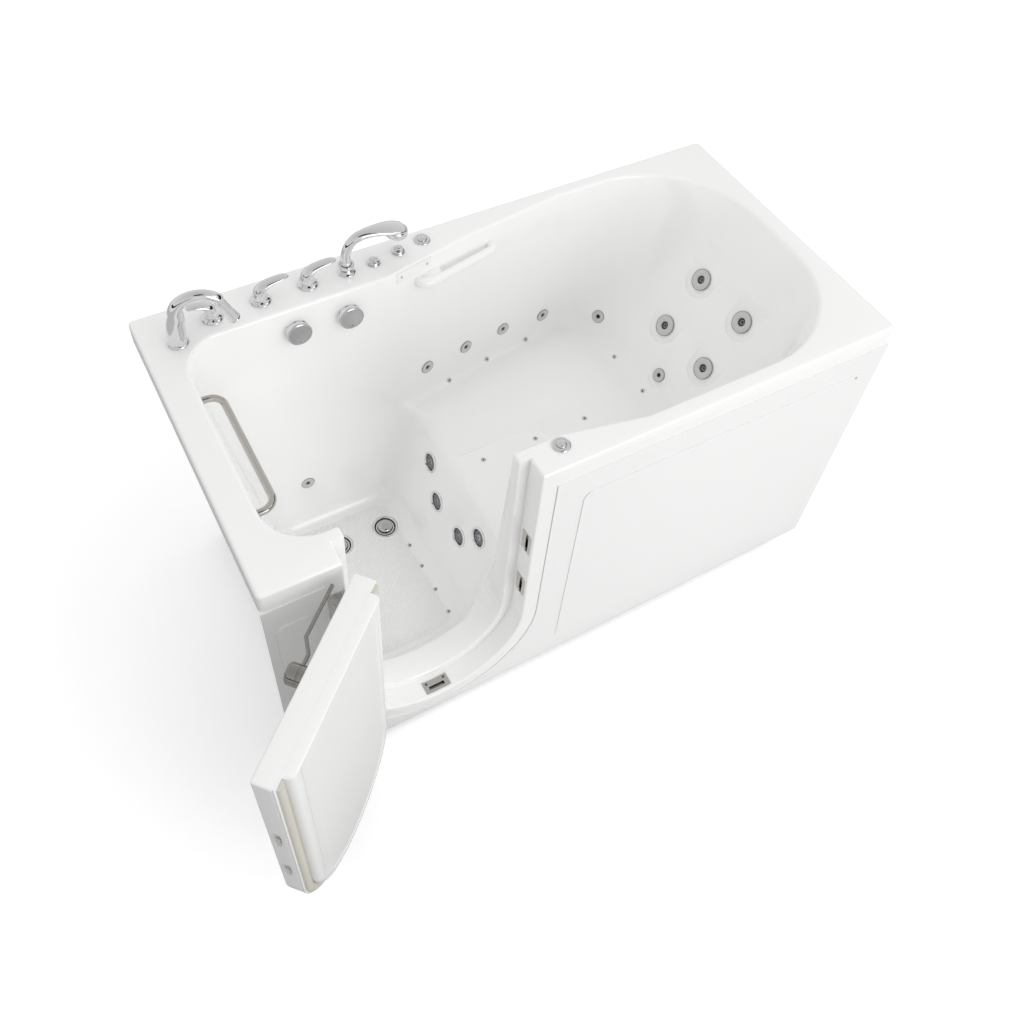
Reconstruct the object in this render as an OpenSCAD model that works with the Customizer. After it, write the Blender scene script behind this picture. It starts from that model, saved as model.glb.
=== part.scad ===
// Walk-in bathtub with a hinged door in its front wall.
// x runs from the tub's left end, y from its front edge, z from the floor;
// place() moves that corner frame so that the origin is the middle of the footprint.

/* [Tub] */
// Length over the rim
tub_length = 1829; // [1780:1:1880]
// Width over the rim
tub_width = 914.5; // [900:0.5:940]
// Height of the rim above the floor
rim_height = 1000; // [985:1:1020]
// Thickness of the moulded wall
wall = 8; // [6:0.5:9]
// Height of the lip that hangs from the rim
lip_height = 64; // [50:1:80]
// Radius of the tub's outer corners
rim_corner = 14; // [8:1:30]

/* [Footwell] */
// Height of the footwell floor
floor_height = 76; // [74:0.5:82]
// Left end of the basin at the rim
basin_left = 82; // [76:1:100]
// Front side of the footwell at the rim
well_front = 95; // [92:1:100]
// Back side of the footwell at the rim
well_back = 772; // [750:1:778]
// Left end of the footwell floor
floor_left = 235; // [225:1:250]
// Right end of the footwell floor
floor_right = 640; // [620:1:650]
// Front side of the footwell floor
floor_front = 150; // [140:1:160]
// Back side of the footwell floor
floor_back = 735; // [700:1:745]
// Where the riser under the seat meets the rim when it is carried on upwards
riser_top = 900; // [880:1:920]
// Radius of the footwell's corners at the rim
well_corner = 118; // [90:1:130]
// Radius of the footwell's corners at the floor
floor_corner = 60; // [40:1:80]

/* [Seat] */
// Height of the seat
seat_height = 460; // [430:1:490]
// Right end of the seat, at the foot of the backrest
seat_right = 1430; // [1410:1:1450]
// Right end of the basin at the rim
basin_right = 1772; // [1740:1:1780]
// Front side of the basin at the rim
basin_front = 46; // [42:1:60]
// Back side of the basin at the rim
basin_back = 874; // [860:1:880]
// How much the side walls draw in from the rim to the seat
side_draft = 24; // [10:1:30]
// Radius of the backrest's corners at the rim
back_corner = 330; // [280:1:360]
// Radius of the backrest's corners at the seat
seat_corner = 150; // [100:1:200]

/* [Doorway] */
// Middle of the doorway
door_x = 454; // [450:1:460]
// Height of the centre of the round bottom
door_bottom_centre = 336; // [330:1:345]
// Radius of the flange around the doorway
flange_radius = 302; // [295:1:304]
// Radius of the recess that the door sits in
recess_radius = 255; // [253:0.5:258]
// Depth of the recess
recess_depth = 62; // [60:0.5:66]
// Radius of the throat behind the recess
throat_radius = 224; // [220:0.5:228]

/* [Door] */
// Gap between the door's edge and the recess
door_gap = 10; // [9:0.5:12]
// Drop of the door's top edge below the rim
door_drop = 6; // [3:0.5:12]
// Thickness of the door slab
slab_depth = 52; // [50:0.5:54]
// Wall thickness of the door's skins
skin = 4; // [3:0.5:5]
// Depth of the plug on the door's inner side
plug_depth = 25; // [18:0.5:30]
// Gap between the plug and the throat
plug_gap = 10; // [9:0.5:12]
// Distance of the hinge axis to the left of the door's edge
hinge_side = 4; // [3:0.5:6]
// Distance of the hinge axis in front of the door
hinge_front = 15; // [13:0.5:16]
// How far the door stands open
door_open = 138; // [120:1:138]
// Height of the bulb gasket on the door
gasket_height = 9.5; // [8:0.1:9.8]
// Width of the bulb gasket
gasket_width = 25; // [20:0.5:28]

/* [Hinges] */
// Foot of each hinge
hinge_heights = [400, 790];
// Height of a hinge
hinge_length = 100; // [80:1:120]
// Radius of a hinge knuckle
knuckle_radius = 8; // [7:0.5:9]
// Radius of a hinge pin
pin_radius = 4; // [3:0.25:5]
// Width of a hinge leaf
leaf_width = 38; // [30:1:40]
// Thickness of a hinge leaf
leaf = 3; // [2:0.5:3.5]

/* [Latch] */
// How far the middle of the latch's hub is under the rim
handle_drop = 49; // [45:1:70]
// Radius of the handle's hub
hub_radius = 25; // [20:0.5:28]
// Depth of the handle's hub
hub_depth = 45; // [44:0.5:50]
// Radius of the handle's rod
rod_radius = 4.5; // [3.5:0.25:5]
// Height of each side bolt
side_bolt_heights = [468, 678];
// Height of a bolt's blade
blade_width = 46; // [36:1:50]
// Thickness of a bolt's blade
blade = 8; // [6:0.5:9]
// Travel of each bolt
bolt_travel = 18; // [14:0.5:18]
// How far the side bolts stand out of the door when drawn back
blade_rest = 5; // [3:0.5:5.5]
// Depth of the bolts' centre behind the door's outer face
bolt_depth = 26; // [24:0.5:28]
// Height of a strike plate
strike_length = 80; // [76:1:90]
// Width of a strike plate
strike_width = 42; // [38:1:48]
// Thickness of a strike plate
strike = 1.5; // [1:0.25:1.5]

/* [Aprons] */
// Gap under the front apron
apron_gap = 12; // [8:1:16]
// How far the apron stands in front of the rim
apron_proud = 3; // [2:0.5:5]
// Thickness of the apron
apron = 6; // [5:0.5:8]
// Seam between the apron and the door flange
seam = 1; // [0.5:0.25:2]
// Left side of the wide access panel
panel_left = 844; // [830:1:860]
// Right side of the wide access panel
panel_right = 1775; // [1700:1:1800]
// Left side of the narrow access panel
small_panel_left = 23; // [20:1:30]
// Right side of the narrow access panel
small_panel_right = 117; // [100:1:135]
// Bottom edge of the wide access panel
panel_bottom = 91; // [70:1:110]
// Bottom edge of the narrow access panel
small_panel_bottom = 262; // [200:1:300]
// Distance between the access panels and the rim's lip
panel_drop = 84; // [56:1:116]
// Corner radius of the access panels
panel_corner = 30; // [15:1:40]

/* [Frame] */
// Side of the square frame tube
bar = 30; // [25:1:35]
// Wall thickness of the frame tube
bar_wall = 2; // [1.5:0.25:3]
// Inset of the frame from the tub's ends
frame_inset = 100; // [95:1:120]
// Inset of the frame from the tub's sides
frame_side = 20; // [16:1:26]
// Radius of a levelling foot
foot_radius = 20; // [15:1:28]
// Height of a levelling foot's pad
foot_pad = 8; // [5:0.5:10]
// Radius of a foot's stud
foot_stud = 6; // [5:0.5:8]

/* [Drains and overflows] */
// Floor drains, as [x, y]
drains = [[560, 606], [400, 606]];
// Radius of a drain's flange
drain_radius = 42; // [36:1:45]
// Radius of a drain's pipe
drain_pipe = 25; // [22:0.5:28]
// Radius of a stopper
stopper_radius = 33; // [28:0.5:36]
// Height of a stopper's dome
stopper_height = 12; // [8:0.5:16]
// Overflows in the back wall of the footwell, as [x, distance under the rim]
overflow_places = [[401, 76], [552, 81]];
// Radius of an overflow knob
knob_radius = 35.5; // [30:0.5:40]
// How far an overflow knob stands off the wall
knob_stand = 18; // [12:1:22]
// Thickness of an overflow knob
knob_depth = 7; // [5:0.5:10]
// Radius of an overflow's pipe
overflow_pipe = 20; // [16:0.5:22]
// Radius of the stems that turn or slide
stem_radius = 4; // [3:0.25:5]
// Radius of the waste pipe
waste_radius = 14; // [10:0.5:14.5]

/* [Jets] */
// Radius of a large jet's ring
large_jet = 34; // [30:0.5:38]
// Radius of a large jet's housing
large_bore = 24; // [20:0.5:27]
// Radius of a small jet's ring
small_jet = 22; // [19:0.5:25]
// Radius of a small jet's housing
small_bore = 15; // [12:0.5:17]
// Radius of an air jet's cap
air_jet = 7.5; // [6:0.25:9]
// Radius of an air jet's tail
air_bore = 5; // [4:0.25:5.5]
// Length of an air jet's tail behind the wall's face
air_depth = 22; // [14:1:28]
// Radius of a footwell grille
grille_radius = 34; // [30:0.5:38]
// Radius of a grille's housing
grille_bore = 26; // [22:0.5:28]
// Length of a jet's housing behind the wall's face
jet_depth = 45; // [36:1:50]
// Large jets in the backrest: heights of the two rows above the seat
large_jet_rows = [175, 329];
// Large jets: distance of the columns from the middle
large_jet_spread = 102; // [80:1:130]
// Small jets in the back wall, as [x, height above the seat]
back_jets = [[800, 112], [952, 102], [1098, 99], [1263, 71]];
// Small jet in the corner of the backrest: height above the seat
corner_jet = 62; // [50:1:90]
// Small jet low in the backrest: height above the seat
backrest_jet = 71; // [50:1:90]
// Small jet in the back wall of the footwell, as [x, height above the floor of the well]
foot_jet = [363, 200];
// Grilles in the riser, as [y, height above the floor of the well]
grille_places = [[271, 285], [585, 285], [347, 204], [493, 204]];
// Air jets on the bevel between seat and back wall
bevel_air_jets = [877, 1029, 1188];
// Air jets on the bevel at the foot of the backrest
end_air_jets = [458, 623];
// Air jets on the seat, and the line that they stand on
seat_air_jets = [827, 1010, 1190];
seat_air_line = 455;
// Air jets on the floor of the well, and the line that they stand on
floor_air_jets = [230, 319, 415, 503];
floor_air_line = 601;

/* [Fittings] */
// How far the grab bar's line is under the rim
grab_drop = 44; // [35:1:70]
// Radius of the grab bar
grab_radius = 9.5; // [8:0.25:12]
// Distance of the grab bar's run from the tub's left end
grab_x = 135; // [125:1:150]
// Centres of the grab bar's two legs
grab_ends = [235, 613];
// Bend radius of the grab bar
grab_bend = 35; // [28:1:40]
// Lever valves on the deck, as [x, y]
valves = [[199, 831], [334, 837], [469, 841]];
// Radius of a valve's base
valve_radius = 29; // [24:0.5:32]
// Reach of each valve's lever
lever_reaches = [62, 84, 86];
// Spout on the deck
spout_at = [93, 784];
// Radius of the spout's foot
spout_foot = 28; // [24:0.5:32]
// Bend radius of the spout
spout_bend = 62; // [50:1:75]
// Height of the centre of the spout's bend over the rim
spout_rise = 93; // [70:1:100]
// Slope of the spout's falling limb, from upright
spout_fall = 25; // [15:1:35]
// Length of the spout's falling limb
spout_drop = 80; // [60:1:90]
// Width and thickness of the spout's tube
spout_tube = [36, 18];
// Direction that the spout points in
spout_turn = -13; // [-20:1:-5]
// Hand shower on the deck
shower_at = [583, 842];
// Radius of the hand shower's stem
shower_stem = 14; // [12:0.5:15]
// Radius of the hand shower's neck
shower_neck = 9; // [7:0.5:10]
// Bend radius of the hand shower's neck
shower_bend = 70; // [60:1:80]
// Air control knobs on the deck
air_knobs = [[664, 842], [745, 855]];
// Push buttons on the deck
buttons = [[827, 870], [796, 63]];
// Radius of a push button's body
button_radius = 24; // [20:0.5:26]
// Size of the bare plate in the back wall
plate_size = [120, 33];
// Place of the plate, as [x, distance under the rim]
plate_place = [762, 20.5];
// Length of the moulded grip bar
grip_length = 262; // [220:1:280]
// Place of the moulded grip bar, as [x, distance under the rim]
grip_place = [905, 65];
// Radius of the moulded grip bar
grip_radius = 12; // [10:0.5:14]
// Gap behind the moulded grip bar
grip_gap = 17; // [15:1:22]

/* [Hidden] */
$fn = 48;
hull_detail = 32;
clear = 0.3;      // between pieces that sit beside each other
running = 0.05;   // radial clearance of a turning or sliding fit
end_play = 0.5;   // along the axis of a turning piece
weld = 0.1;       // root gap between two tubes of the frame
cut = 1;          // how far a cutter runs past the face that it cuts
big = 3000;

door_top = rim_height - door_drop;
door_radius = recess_radius - door_gap;
plug_radius = throat_radius - plug_gap;
door_left = door_x - door_radius;
door_right = door_x + door_radius;
door_bottom = door_bottom_centre - door_radius;
recess_right = door_x + recess_radius;
sill = door_bottom_centre - recess_radius;
hinge_x = door_left - hinge_side;
hinge_y = -hinge_front;
deck_under = rim_height - wall;
lip_bottom = rim_height - lip_height;
handle_height = rim_height - handle_drop;
grab_height = rim_height - grab_drop;
panel_top = lip_bottom - panel_drop;
frame_top = floor_height - wall;
frame_bottom = frame_top - bar;
middle_x = tub_length / 2;
middle_y = tub_width / 2;
front_rail = frame_side;
back_rail = tub_width - frame_side - bar - 14;
under_seat = seat_height - wall;

// Bevel where a floor meets its walls, and the knots of the basin's side outlines at the rim
fillet = 28;
neck_x = 700;
front_neck_x = 815;
front_wide_x = 1050;
back_mid = [960, 830];
back_wide_x = 1290;
neck_end = 1100;
knot = 10;
screw_radius = 2;
screw_head = 4.5;
head_height = 2;
panel_depth = 3;
wide_panel_screws = [[panel_right - 27, panel_top - 14]];
small_panel_screws = [];
cross_rails = [frame_inset, 275, 465, 620, middle_x - bar / 2, 1370, tub_length - frame_inset - bar];
seat_rails = [235, 625];
foot_places = [frame_inset + bar / 2, 830, tub_length - frame_inset - bar / 2];

// Hinge: distance from the axis to the web, and the latch's inner sizes
arm_reach = 16;
spindle_radius = 6;
spindle_length = 23;
cam_radius = 22;
cam_depth = 14;
gasket_top = door_top - 9;
guide_left = door_right - 40;
bottom_rest = 3;
strike_hole = 32;
rod_guides = [300, 560, 800];

// The handle's rod: its two distances from the door's face, its step and its tip
rod_low = 21;
rod_high = 43.5;
rod_step = door_x - 52;
rod_end_step = door_x - 89;
rod_tip = door_x - 216;
rod_weld = 0.5;

// Drains
drain_seat = 3;
drain_foot = 8;
guide_top = 42;
dome_radius = (stopper_radius * stopper_radius + stopper_height * stopper_height) / (2 * stopper_height);
waste_y = drains[0].y;
waste_z = drain_foot + waste_radius;
waste_end = 830;

// Depth that a jet's ring is let into the wall
spot = 1.5;

// Points and leans of the basin's walls
well_height = rim_height + cut - floor_height - fillet;
seat_wall_height = rim_height + cut - seat_height - fillet;
riser_lean = atan2(riser_top - floor_right, well_height);
rest_lean = atan2(basin_right - seat_right, seat_wall_height);
side_lean = atan2(side_draft, seat_wall_height);
well_lean = atan2(well_back - floor_back, well_height);
left_lean = atan2(floor_left - basin_left, well_height);
function riser_at(y, z) =
    [floor_right + (z - floor_height - fillet) * tan(riser_lean), y, z, 180, riser_lean];
function backrest_at(y, z) =
    [seat_right + (z - seat_height - fillet) * tan(rest_lean), y, z, 180, rest_lean];
function well_back_at(x, z) =
    [x, floor_back + (z - floor_height - fillet) * tan(well_lean), z, -90, well_lean];
function left_wall_x(z) = floor_left - (z - floor_height - fillet) * tan(left_lean);

// The back wall beside the seat has two flat stretches
back_first = [neck_x, well_back + 3];
back_last = [back_wide_x, basin_back];
function back_from(x) = x < back_mid.x ? back_first : back_mid;
function back_slope(x) = x < back_mid.x ? (back_mid.y - back_first.y) / (back_mid.x - back_first.x)
    : (back_last.y - back_mid.y) / (back_last.x - back_mid.x);
function back_rim_y(x) = back_from(x).y + (x - back_from(x).x) * back_slope(x);
function seat_back_at(x, z) =
    [x, back_rim_y(x) - (rim_height + cut - z) * tan(side_lean), z, -90 + atan(back_slope(x)), side_lean];
// Half way up the bevel between the seat and the wall
function seat_bevel_at(x) = [x, back_rim_y(x) - side_draft - fillet / 2, seat_height + fillet / 2,
    -90 + atan(back_slope(x)), 45];
function seat_end_at(y) = [seat_right - fillet / 2, y, seat_height + fillet / 2, 180, 45];
// The corner of the backrest, at an angle from the tub's length
function corner_at(angle, z) = let (
    rise = (z - seat_height - fillet) / seat_wall_height,
    foot = [seat_right - seat_corner, basin_back - side_draft - seat_corner],
    head = [basin_right - back_corner, basin_back - back_corner],
    out = [cos(angle), sin(angle)],
    centre = foot + rise * (head - foot),
    point = centre + (seat_corner + rise * (back_corner - seat_corner)) * out,
    move = (head - foot) * out + back_corner - seat_corner)
    [point.x, point.y, z, 180 + angle, atan2(move, seat_wall_height)];

basin_middle = (basin_front + basin_back) / 2;
large_jets = [for (side = [-1, 1]) for (z = large_jet_rows)
    backrest_at(basin_middle - 10 + side * large_jet_spread, seat_height + z)];
small_jets = concat([for (p = back_jets) seat_back_at(p.x, seat_height + p.y)],
    [corner_at(29, seat_height + corner_jet), backrest_at(basin_middle - 6, seat_height + backrest_jet),
        well_back_at(foot_jet.x, floor_height + foot_jet.y)]);
grilles = [for (p = grille_places) riser_at(p.x, floor_height + p.y)];
nozzle_grille = 0;
air_jets = concat([for (x = bevel_air_jets) seat_bevel_at(x)], [for (y = end_air_jets) seat_end_at(y)],
    [for (x = seat_air_jets) [x, seat_air_line, seat_height, 0, 90]],
    [for (y = floor_air_jets) [floor_air_line, y, floor_height, 0, 90]]);
overflows = [for (p = overflow_places) well_back_at(p.x, rim_height - p.y)];
plate_at = seat_back_at(plate_place.x, rim_height - plate_place.y);
plate_hole = 45;

// The grip bar's middle, standing off the back wall
grip_at = seat_back_at(grip_place.x, rim_height - grip_place.y);
grip_left_block = 61;
grip_right_block = 14;

// Under the seat
pump_x = 940;
pump_y = 370;
blower_y = 540;
pump_radius = 75;
pump_axis = 80;
manifold_x = 1700;
manifold_z = 640;
air_x = 1358;
tray_edge = 5;

// Deck fittings
tail_radius = 14;
shower_tail = 18;
knob_tail = 10;
button_tail = 15;
tail_length = 45;
shower_head = [130, 72];
grab_root = left_wall_x(grab_height) - 3 * wall;

acrylic = [0.95, 0.95, 0.94];
steel = [0.75, 0.76, 0.77];
chrome = [0.82, 0.83, 0.85];
rubber = [0.82, 0.79, 0.72];
dark = [0.3, 0.3, 0.32];

// ---------- helpers ----------

module place() translate([-tub_length / 2, -tub_width / 2, 0]) children();

// Turns the closed door's frame to where the open door stands
module on_open_door() place()
    translate([hinge_x, hinge_y, 0]) rotate([0, 0, -door_open])
        translate([-hinge_x, -hinge_y, 0]) children();

// A cuboid between two corners
module block(low, high) translate(low) cube(high - low);

// A round bar from a point, along x, y or z
module bar_x(at, length, r) translate(at) rotate([0, 90, 0]) cylinder(r = r, h = length);
module bar_y(at, length, r) translate(at) rotate([-90, 0, 0]) cylinder(r = r, h = length);
module bar_z(at, length, r) translate(at) cylinder(r = r, h = length);

// A rectangle with round corners
module round_rect(low, high, r) {
    translate([low.x + r, low.y]) square([high.x - low.x - 2 * r, high.y - low.y]);
    translate([low.x, low.y + r]) square([high.x - low.x, high.y - low.y - 2 * r]);
    for (x = [low.x + r, high.x - r], y = [low.y + r, high.y - r]) translate([x, y]) circle(r);
}

// The doorway's shape, straight sides on a round bottom, between two depths
module doorway(r, front, back, top) translate([door_x, back, door_bottom_centre])
    rotate([90, 0, 0]) linear_extrude(back - front) {
        circle(r, $fn = 96);
        translate([-r, 0]) square([2 * r, top - door_bottom_centre]);
    }

// A thin slab with round corners, used as a section of a basin
module section(low, high, r, z) for (x = [low.x + r, high.x - r], y = [low.y + r, high.y - r])
    translate([x, y, z]) cylinder(r = r, h = 0.1, $fn = hull_detail);

// ---------- basin ----------

// The footwell, grown outwards by g
module footwell(g, top) hull() {
    section([floor_left + fillet, floor_front + fillet], [floor_right - fillet, floor_back - fillet],
        floor_corner - fillet + g, floor_height - g);
    section([floor_left - g, floor_front - g], [floor_right + g, floor_back + g],
        floor_corner + g, floor_height + fillet);
    section([basin_left - g, well_front - g], [riser_top + g, well_back + g], well_corner + g, top);
}

// One level of the seat basin: knots along its front and back sides, moved in by inset and grown by g
module sides(front, back, inset, g, z) {
    for (p = back) translate([p.x, p.y - inset - knot, z]) cylinder(r = knot + g, h = 0.1, $fn = hull_detail);
    for (p = front) translate([p.x, p.y + inset + knot, z]) cylinder(r = knot + g, h = 0.1, $fn = hull_detail);
}
module backrest_corners(inset, right, corner, g, z)
    for (y = [basin_front + inset + corner, basin_back - inset - corner])
        translate([right - corner, y, z]) cylinder(r = corner + g, h = 0.1, $fn = 2 * hull_detail);

// The part beside the footwell is narrow, and the part in front of the backrest is wide
module seat_neck(g, top) hull() for (level = [[side_draft + fillet, seat_height - g],
        [side_draft, seat_height + fillet], [0, top]])
    sides([[neck_x, well_front], [neck_end, well_front]], [for (x = [neck_x, back_mid.x, neck_end])
        [x, back_rim_y(x)]], level[0], g, level[1]);
module seat_wide(g, top) hull() for (level = [
        [side_draft + fillet, seat_height - g, seat_right - fillet, seat_corner],
        [side_draft, seat_height + fillet, seat_right, seat_corner],
        [0, top, basin_right, back_corner]]) {
    sides([[front_neck_x, well_front], [front_wide_x, basin_front]], [for (x = [front_neck_x, back_mid.x,
        back_wide_x]) [min(x, level[2] - level[3]), back_rim_y(x)]], level[0], g, level[1]);
    backrest_corners(level[0], level[2], level[3], g, level[1]);
}
module seat_basin(g, top) {
    seat_neck(g, top);
    seat_wide(g, top);
}

// The moulded bar in the back wall, held by a long block at its left end and a short one at its right
module wall_grip() place() color(acrylic) intersection() {
    on_wall(grip_at) {
        stand = grip_gap + grip_radius;
        bar_x([-grip_length / 2, 0, stand], grip_length, grip_radius);
        for (end = [[-grip_length / 2, grip_left_block], [grip_length / 2 - grip_right_block, grip_right_block]])
            translate([end[0], -grip_radius, -wall / 2])
                cube([end[1], 2 * grip_radius, wall / 2 + stand]);
    }
    seat_basin(0, rim_height + cut);
}

module deck_holes() {
    for (at = valves) deck_hole(at, tail_radius);
    deck_hole(spout_at, tail_radius);
    deck_hole(shower_at, shower_tail);
    for (at = air_knobs) deck_hole(at, knob_tail);
    for (at = buttons) deck_hole(at, button_tail);
}
module deck_hole(at, r) bar_z([at.x, at.y, deck_under - cut], wall + 2 * cut, r + clear);

module drain_holes() for (at = drains) translate([at.x, at.y, 0]) {
    cylinder(r = drain_pipe + clear, h = floor_height + cut);
    translate([0, 0, floor_height - drain_seat]) cylinder(r = drain_radius + clear, h = fillet);
}

module shell_screw_holes() {
    for (z = side_bolt_heights, side = [-1, 1])
        bar_x([recess_right - cut, bolt_depth, z + side * strike_hole], wall, screw_radius + running);
    for (foot = hinge_heights) leaf_screw_holes(-1, foot);
    on_wall(plate_at) for (side = [-1, 1])
        translate([side * plate_hole, 0, -wall + cut]) cylinder(r = screw_radius + running, h = wall);
}

module tub_shell() place() color(acrylic) difference() {
    union() {
        footwell(wall, rim_height - 0.1);
        seat_basin(wall, rim_height - 0.1);
        rim();
        doorway(flange_radius, 0, wall, deck_under);
        doorway(recess_radius + wall, 0, recess_depth + wall, deck_under);
        doorway(throat_radius + wall, recess_depth, floor_front + wall, deck_under);
    }
    footwell(0, rim_height + cut);
    seat_basin(0, rim_height + cut);
    doorway(recess_radius, -cut, recess_depth, rim_height + cut);
    doorway(throat_radius, recess_depth - cut, floor_front + 2 * fillet, rim_height + cut);
    for (z = side_bolt_heights) jamb_slot(z);
    sill_slot();
    jet_seats();
    drain_holes();
    deck_holes();
    shell_screw_holes();
    for (y = grab_ends) bar_x([grab_root, y, grab_height], grab_x - grab_root, grab_radius + clear);
    on_wall(plate_at) translate([-plate_size.x / 2 - clear, -plate_size.y / 2 - clear, -spot])
        cube([plate_size.x + 2 * clear, plate_size.y + 2 * clear, 2 * spot]);
}
// The deck with the lip that hangs from its edge
module rim() difference() {
    translate([0, 0, lip_bottom]) linear_extrude(lip_height)
        round_rect([0, 0], [tub_length, tub_width], rim_corner);
    translate([0, 0, lip_bottom - cut]) linear_extrude(lip_height - wall + cut)
        round_rect([wall, wall], [tub_length - wall, tub_width - wall], rim_corner - wall);
}

// ---------- aprons ----------

module front_apron() place() color(acrylic) difference() {
    block([0, -apron_proud, apron_gap], [tub_length, apron - apron_proud, lip_bottom]);
    doorway(flange_radius + seam, -apron_proud - cut, apron, rim_height);
    for (at = concat(wide_panel_screws, small_panel_screws))
        bar_y([at.x, -apron_proud - cut, at.y], apron + 2 * cut, screw_radius + running);
}

// A cover plate with round corners on the apron's face, drilled for its screws
module access_panel(left, right, bottom, screws) difference() {
    translate([0, -apron_proud, 0]) rotate([90, 0, 0]) linear_extrude(panel_depth)
        round_rect([left, bottom], [right, panel_top], panel_corner);
    for (at = screws) bar_y([at.x, -big / 2, at.y], big, screw_radius + running);
}
module front_access_panel() place() color(acrylic)
    access_panel(panel_left, panel_right, panel_bottom, wide_panel_screws);
module left_access_panel() place() color(acrylic)
    access_panel(small_panel_left, small_panel_right, small_panel_bottom, small_panel_screws);

// A screw with a low round head whose underside lies at the origin, pointing along +y
module screw(length) {
    rotate([90, 0, 0]) cylinder(r1 = screw_head, r2 = 0.6 * screw_head, h = head_height);
    bar_y([0, 0, 0], length, screw_radius);
}
module panel_screws() place() color(steel)
    for (at = concat(wide_panel_screws, small_panel_screws))
        translate([at.x, -apron_proud - panel_depth, at.y]) screw(panel_depth + apron);

// ---------- frame ----------

// A square tube between two corners, open along the given axis
module tube(low, high, axis) {
    w = bar_wall * [for (i = [0:2]) i == axis ? -1 : 1];
    difference() { block(low, high); block(low + w, high - w); }
}

module cross_rail(x)
    tube([x, front_rail + bar + weld, frame_bottom], [x + bar, back_rail - weld, frame_top], 1);
module post(x, y, top) tube([x, y, frame_top + weld], [x + bar, y + bar, top], 2);

module base_frame() place() color(steel) {
    for (y = [front_rail, back_rail])
        tube([frame_inset, y, frame_bottom], [tub_length - frame_inset, y + bar, frame_top], 0);
    for (x = cross_rails) cross_rail(x);
    for (x = [cross_rails[0], cross_rails[4], cross_rails[6]], y = [front_rail, back_rail])
        post(x, y, deck_under);
    for (y = seat_rails) {
        for (x = [cross_rails[4], cross_rails[5]]) post(x, y, under_seat - bar - weld);
        tube([cross_rails[4] - 90, y, under_seat - bar], [cross_rails[5] + bar, y + bar, under_seat], 0);
    }
}

// A pad on a threaded stud that reaches the underside of the frame
module foot() {
    cylinder(r = foot_radius, h = foot_pad);
    translate([0, 0, foot_pad]) cylinder(r1 = foot_radius * 0.7, r2 = foot_stud, h = foot_pad);
    cylinder(r = foot_stud, h = frame_bottom);
    translate([0, 0, frame_bottom - 8]) cylinder(r = 1.7 * foot_stud, h = 8, $fn = 6);
}
module levelling_feet() place() color(dark)
    for (x = foot_places, y = [front_rail, back_rail]) translate([x, y + bar / 2, 0]) foot();
module centre_foot() place() color(dark) translate([middle_x, middle_y, 0]) foot();

// ---------- door ----------

module door_outer_shell() on_open_door() color(acrylic) difference() {
    doorway(door_radius, 0, slab_depth - skin, door_top);
    doorway(door_radius - skin, skin, slab_depth, door_top - skin);
    for (z = side_bolt_heights)
        block([door_right - 2 * skin, bolt_depth - blade / 2 - clear, z - blade_width / 2 - clear],
            [door_right + cut, bolt_depth + blade / 2 + clear, z + blade_width / 2 + clear]);
    block([door_x - blade_width / 2 - clear, bolt_depth - blade / 2 - clear, door_bottom - cut],
        [door_x + blade_width / 2 + clear, bolt_depth + blade / 2 + clear, door_bottom + 2 * skin]);
    bar_y([door_x, -cut, handle_height], skin + 2 * cut, spindle_radius + running);
    for (foot = hinge_heights) leaf_screw_holes(1, foot);
}

module door_inner_panel() on_open_door() color(acrylic) difference() {
    union() {
        doorway(door_radius, slab_depth - skin, slab_depth, door_top);
        doorway(plug_radius, slab_depth, slab_depth + plug_depth, door_top);
    }
    doorway(plug_radius - skin, slab_depth - skin - cut, slab_depth + plug_depth - skin,
        door_top - skin);
}

module door_gasket() on_open_door() color(rubber) difference() {
    doorway(plug_radius + clear + gasket_width, slab_depth, slab_depth + gasket_height, gasket_top);
    doorway(plug_radius + clear, slab_depth - cut, slab_depth + gasket_height + cut, big);
}

// A knuckle between two heights, drilled for the pin, with the arm that carries it
module knuckle(side, foot, top) difference() {
    union() {
        translate([hinge_x, hinge_y, foot]) cylinder(r = knuckle_radius, h = top - foot);
        translate([hinge_x - (side < 0 ? arm_reach : 0), hinge_y - leaf, foot])
            cube([arm_reach, 2 * leaf, top - foot]);
    }
    translate([hinge_x, hinge_y, foot - cut]) cylinder(r = pin_radius + running, h = top - foot + 2 * cut);
}
// side -1 is the leaf on the door flange, +1 the leaf on the door
module hinge_leaf(side, foot) {
    web = hinge_x + side * arm_reach;
    plate = web + side * leaf_width;
    block([min(web, plate), -leaf, foot], [max(web, plate), 0, foot + hinge_length]);
    block([min(web, web + side * leaf), hinge_y - leaf, foot],
        [max(web, web + side * leaf), 0, foot + hinge_length]);
    third = hinge_length * 0.3;
    if (side < 0) {
        knuckle(side, foot, foot + third);
        knuckle(side, foot + hinge_length - third, foot + hinge_length);
    } else knuckle(side, foot + third + clear, foot + hinge_length - third - clear);
}
module leaf_screw_holes(side, foot) for (z = [0.2, 0.5, 0.8])
    bar_y([hinge_x + side * (arm_reach + leaf_width * 0.6), -3 * leaf, foot + z * hinge_length],
        6 * leaf, screw_radius + running);
module fixed_hinge_leaves() place() color(steel) for (foot = hinge_heights) difference() {
    hinge_leaf(-1, foot);
    leaf_screw_holes(-1, foot);
}
module door_hinge_leaves() on_open_door() color(steel) for (foot = hinge_heights) difference() {
    hinge_leaf(1, foot);
    leaf_screw_holes(1, foot);
}
module hinge_pins() place() color(steel) for (foot = hinge_heights)
    translate([hinge_x, hinge_y, foot - 2]) {
        cylinder(r = pin_radius, h = hinge_length + 4);
        translate([0, 0, hinge_length + 2 + clear]) cylinder(r = 1.4 * pin_radius, h = 2);
    }
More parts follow.
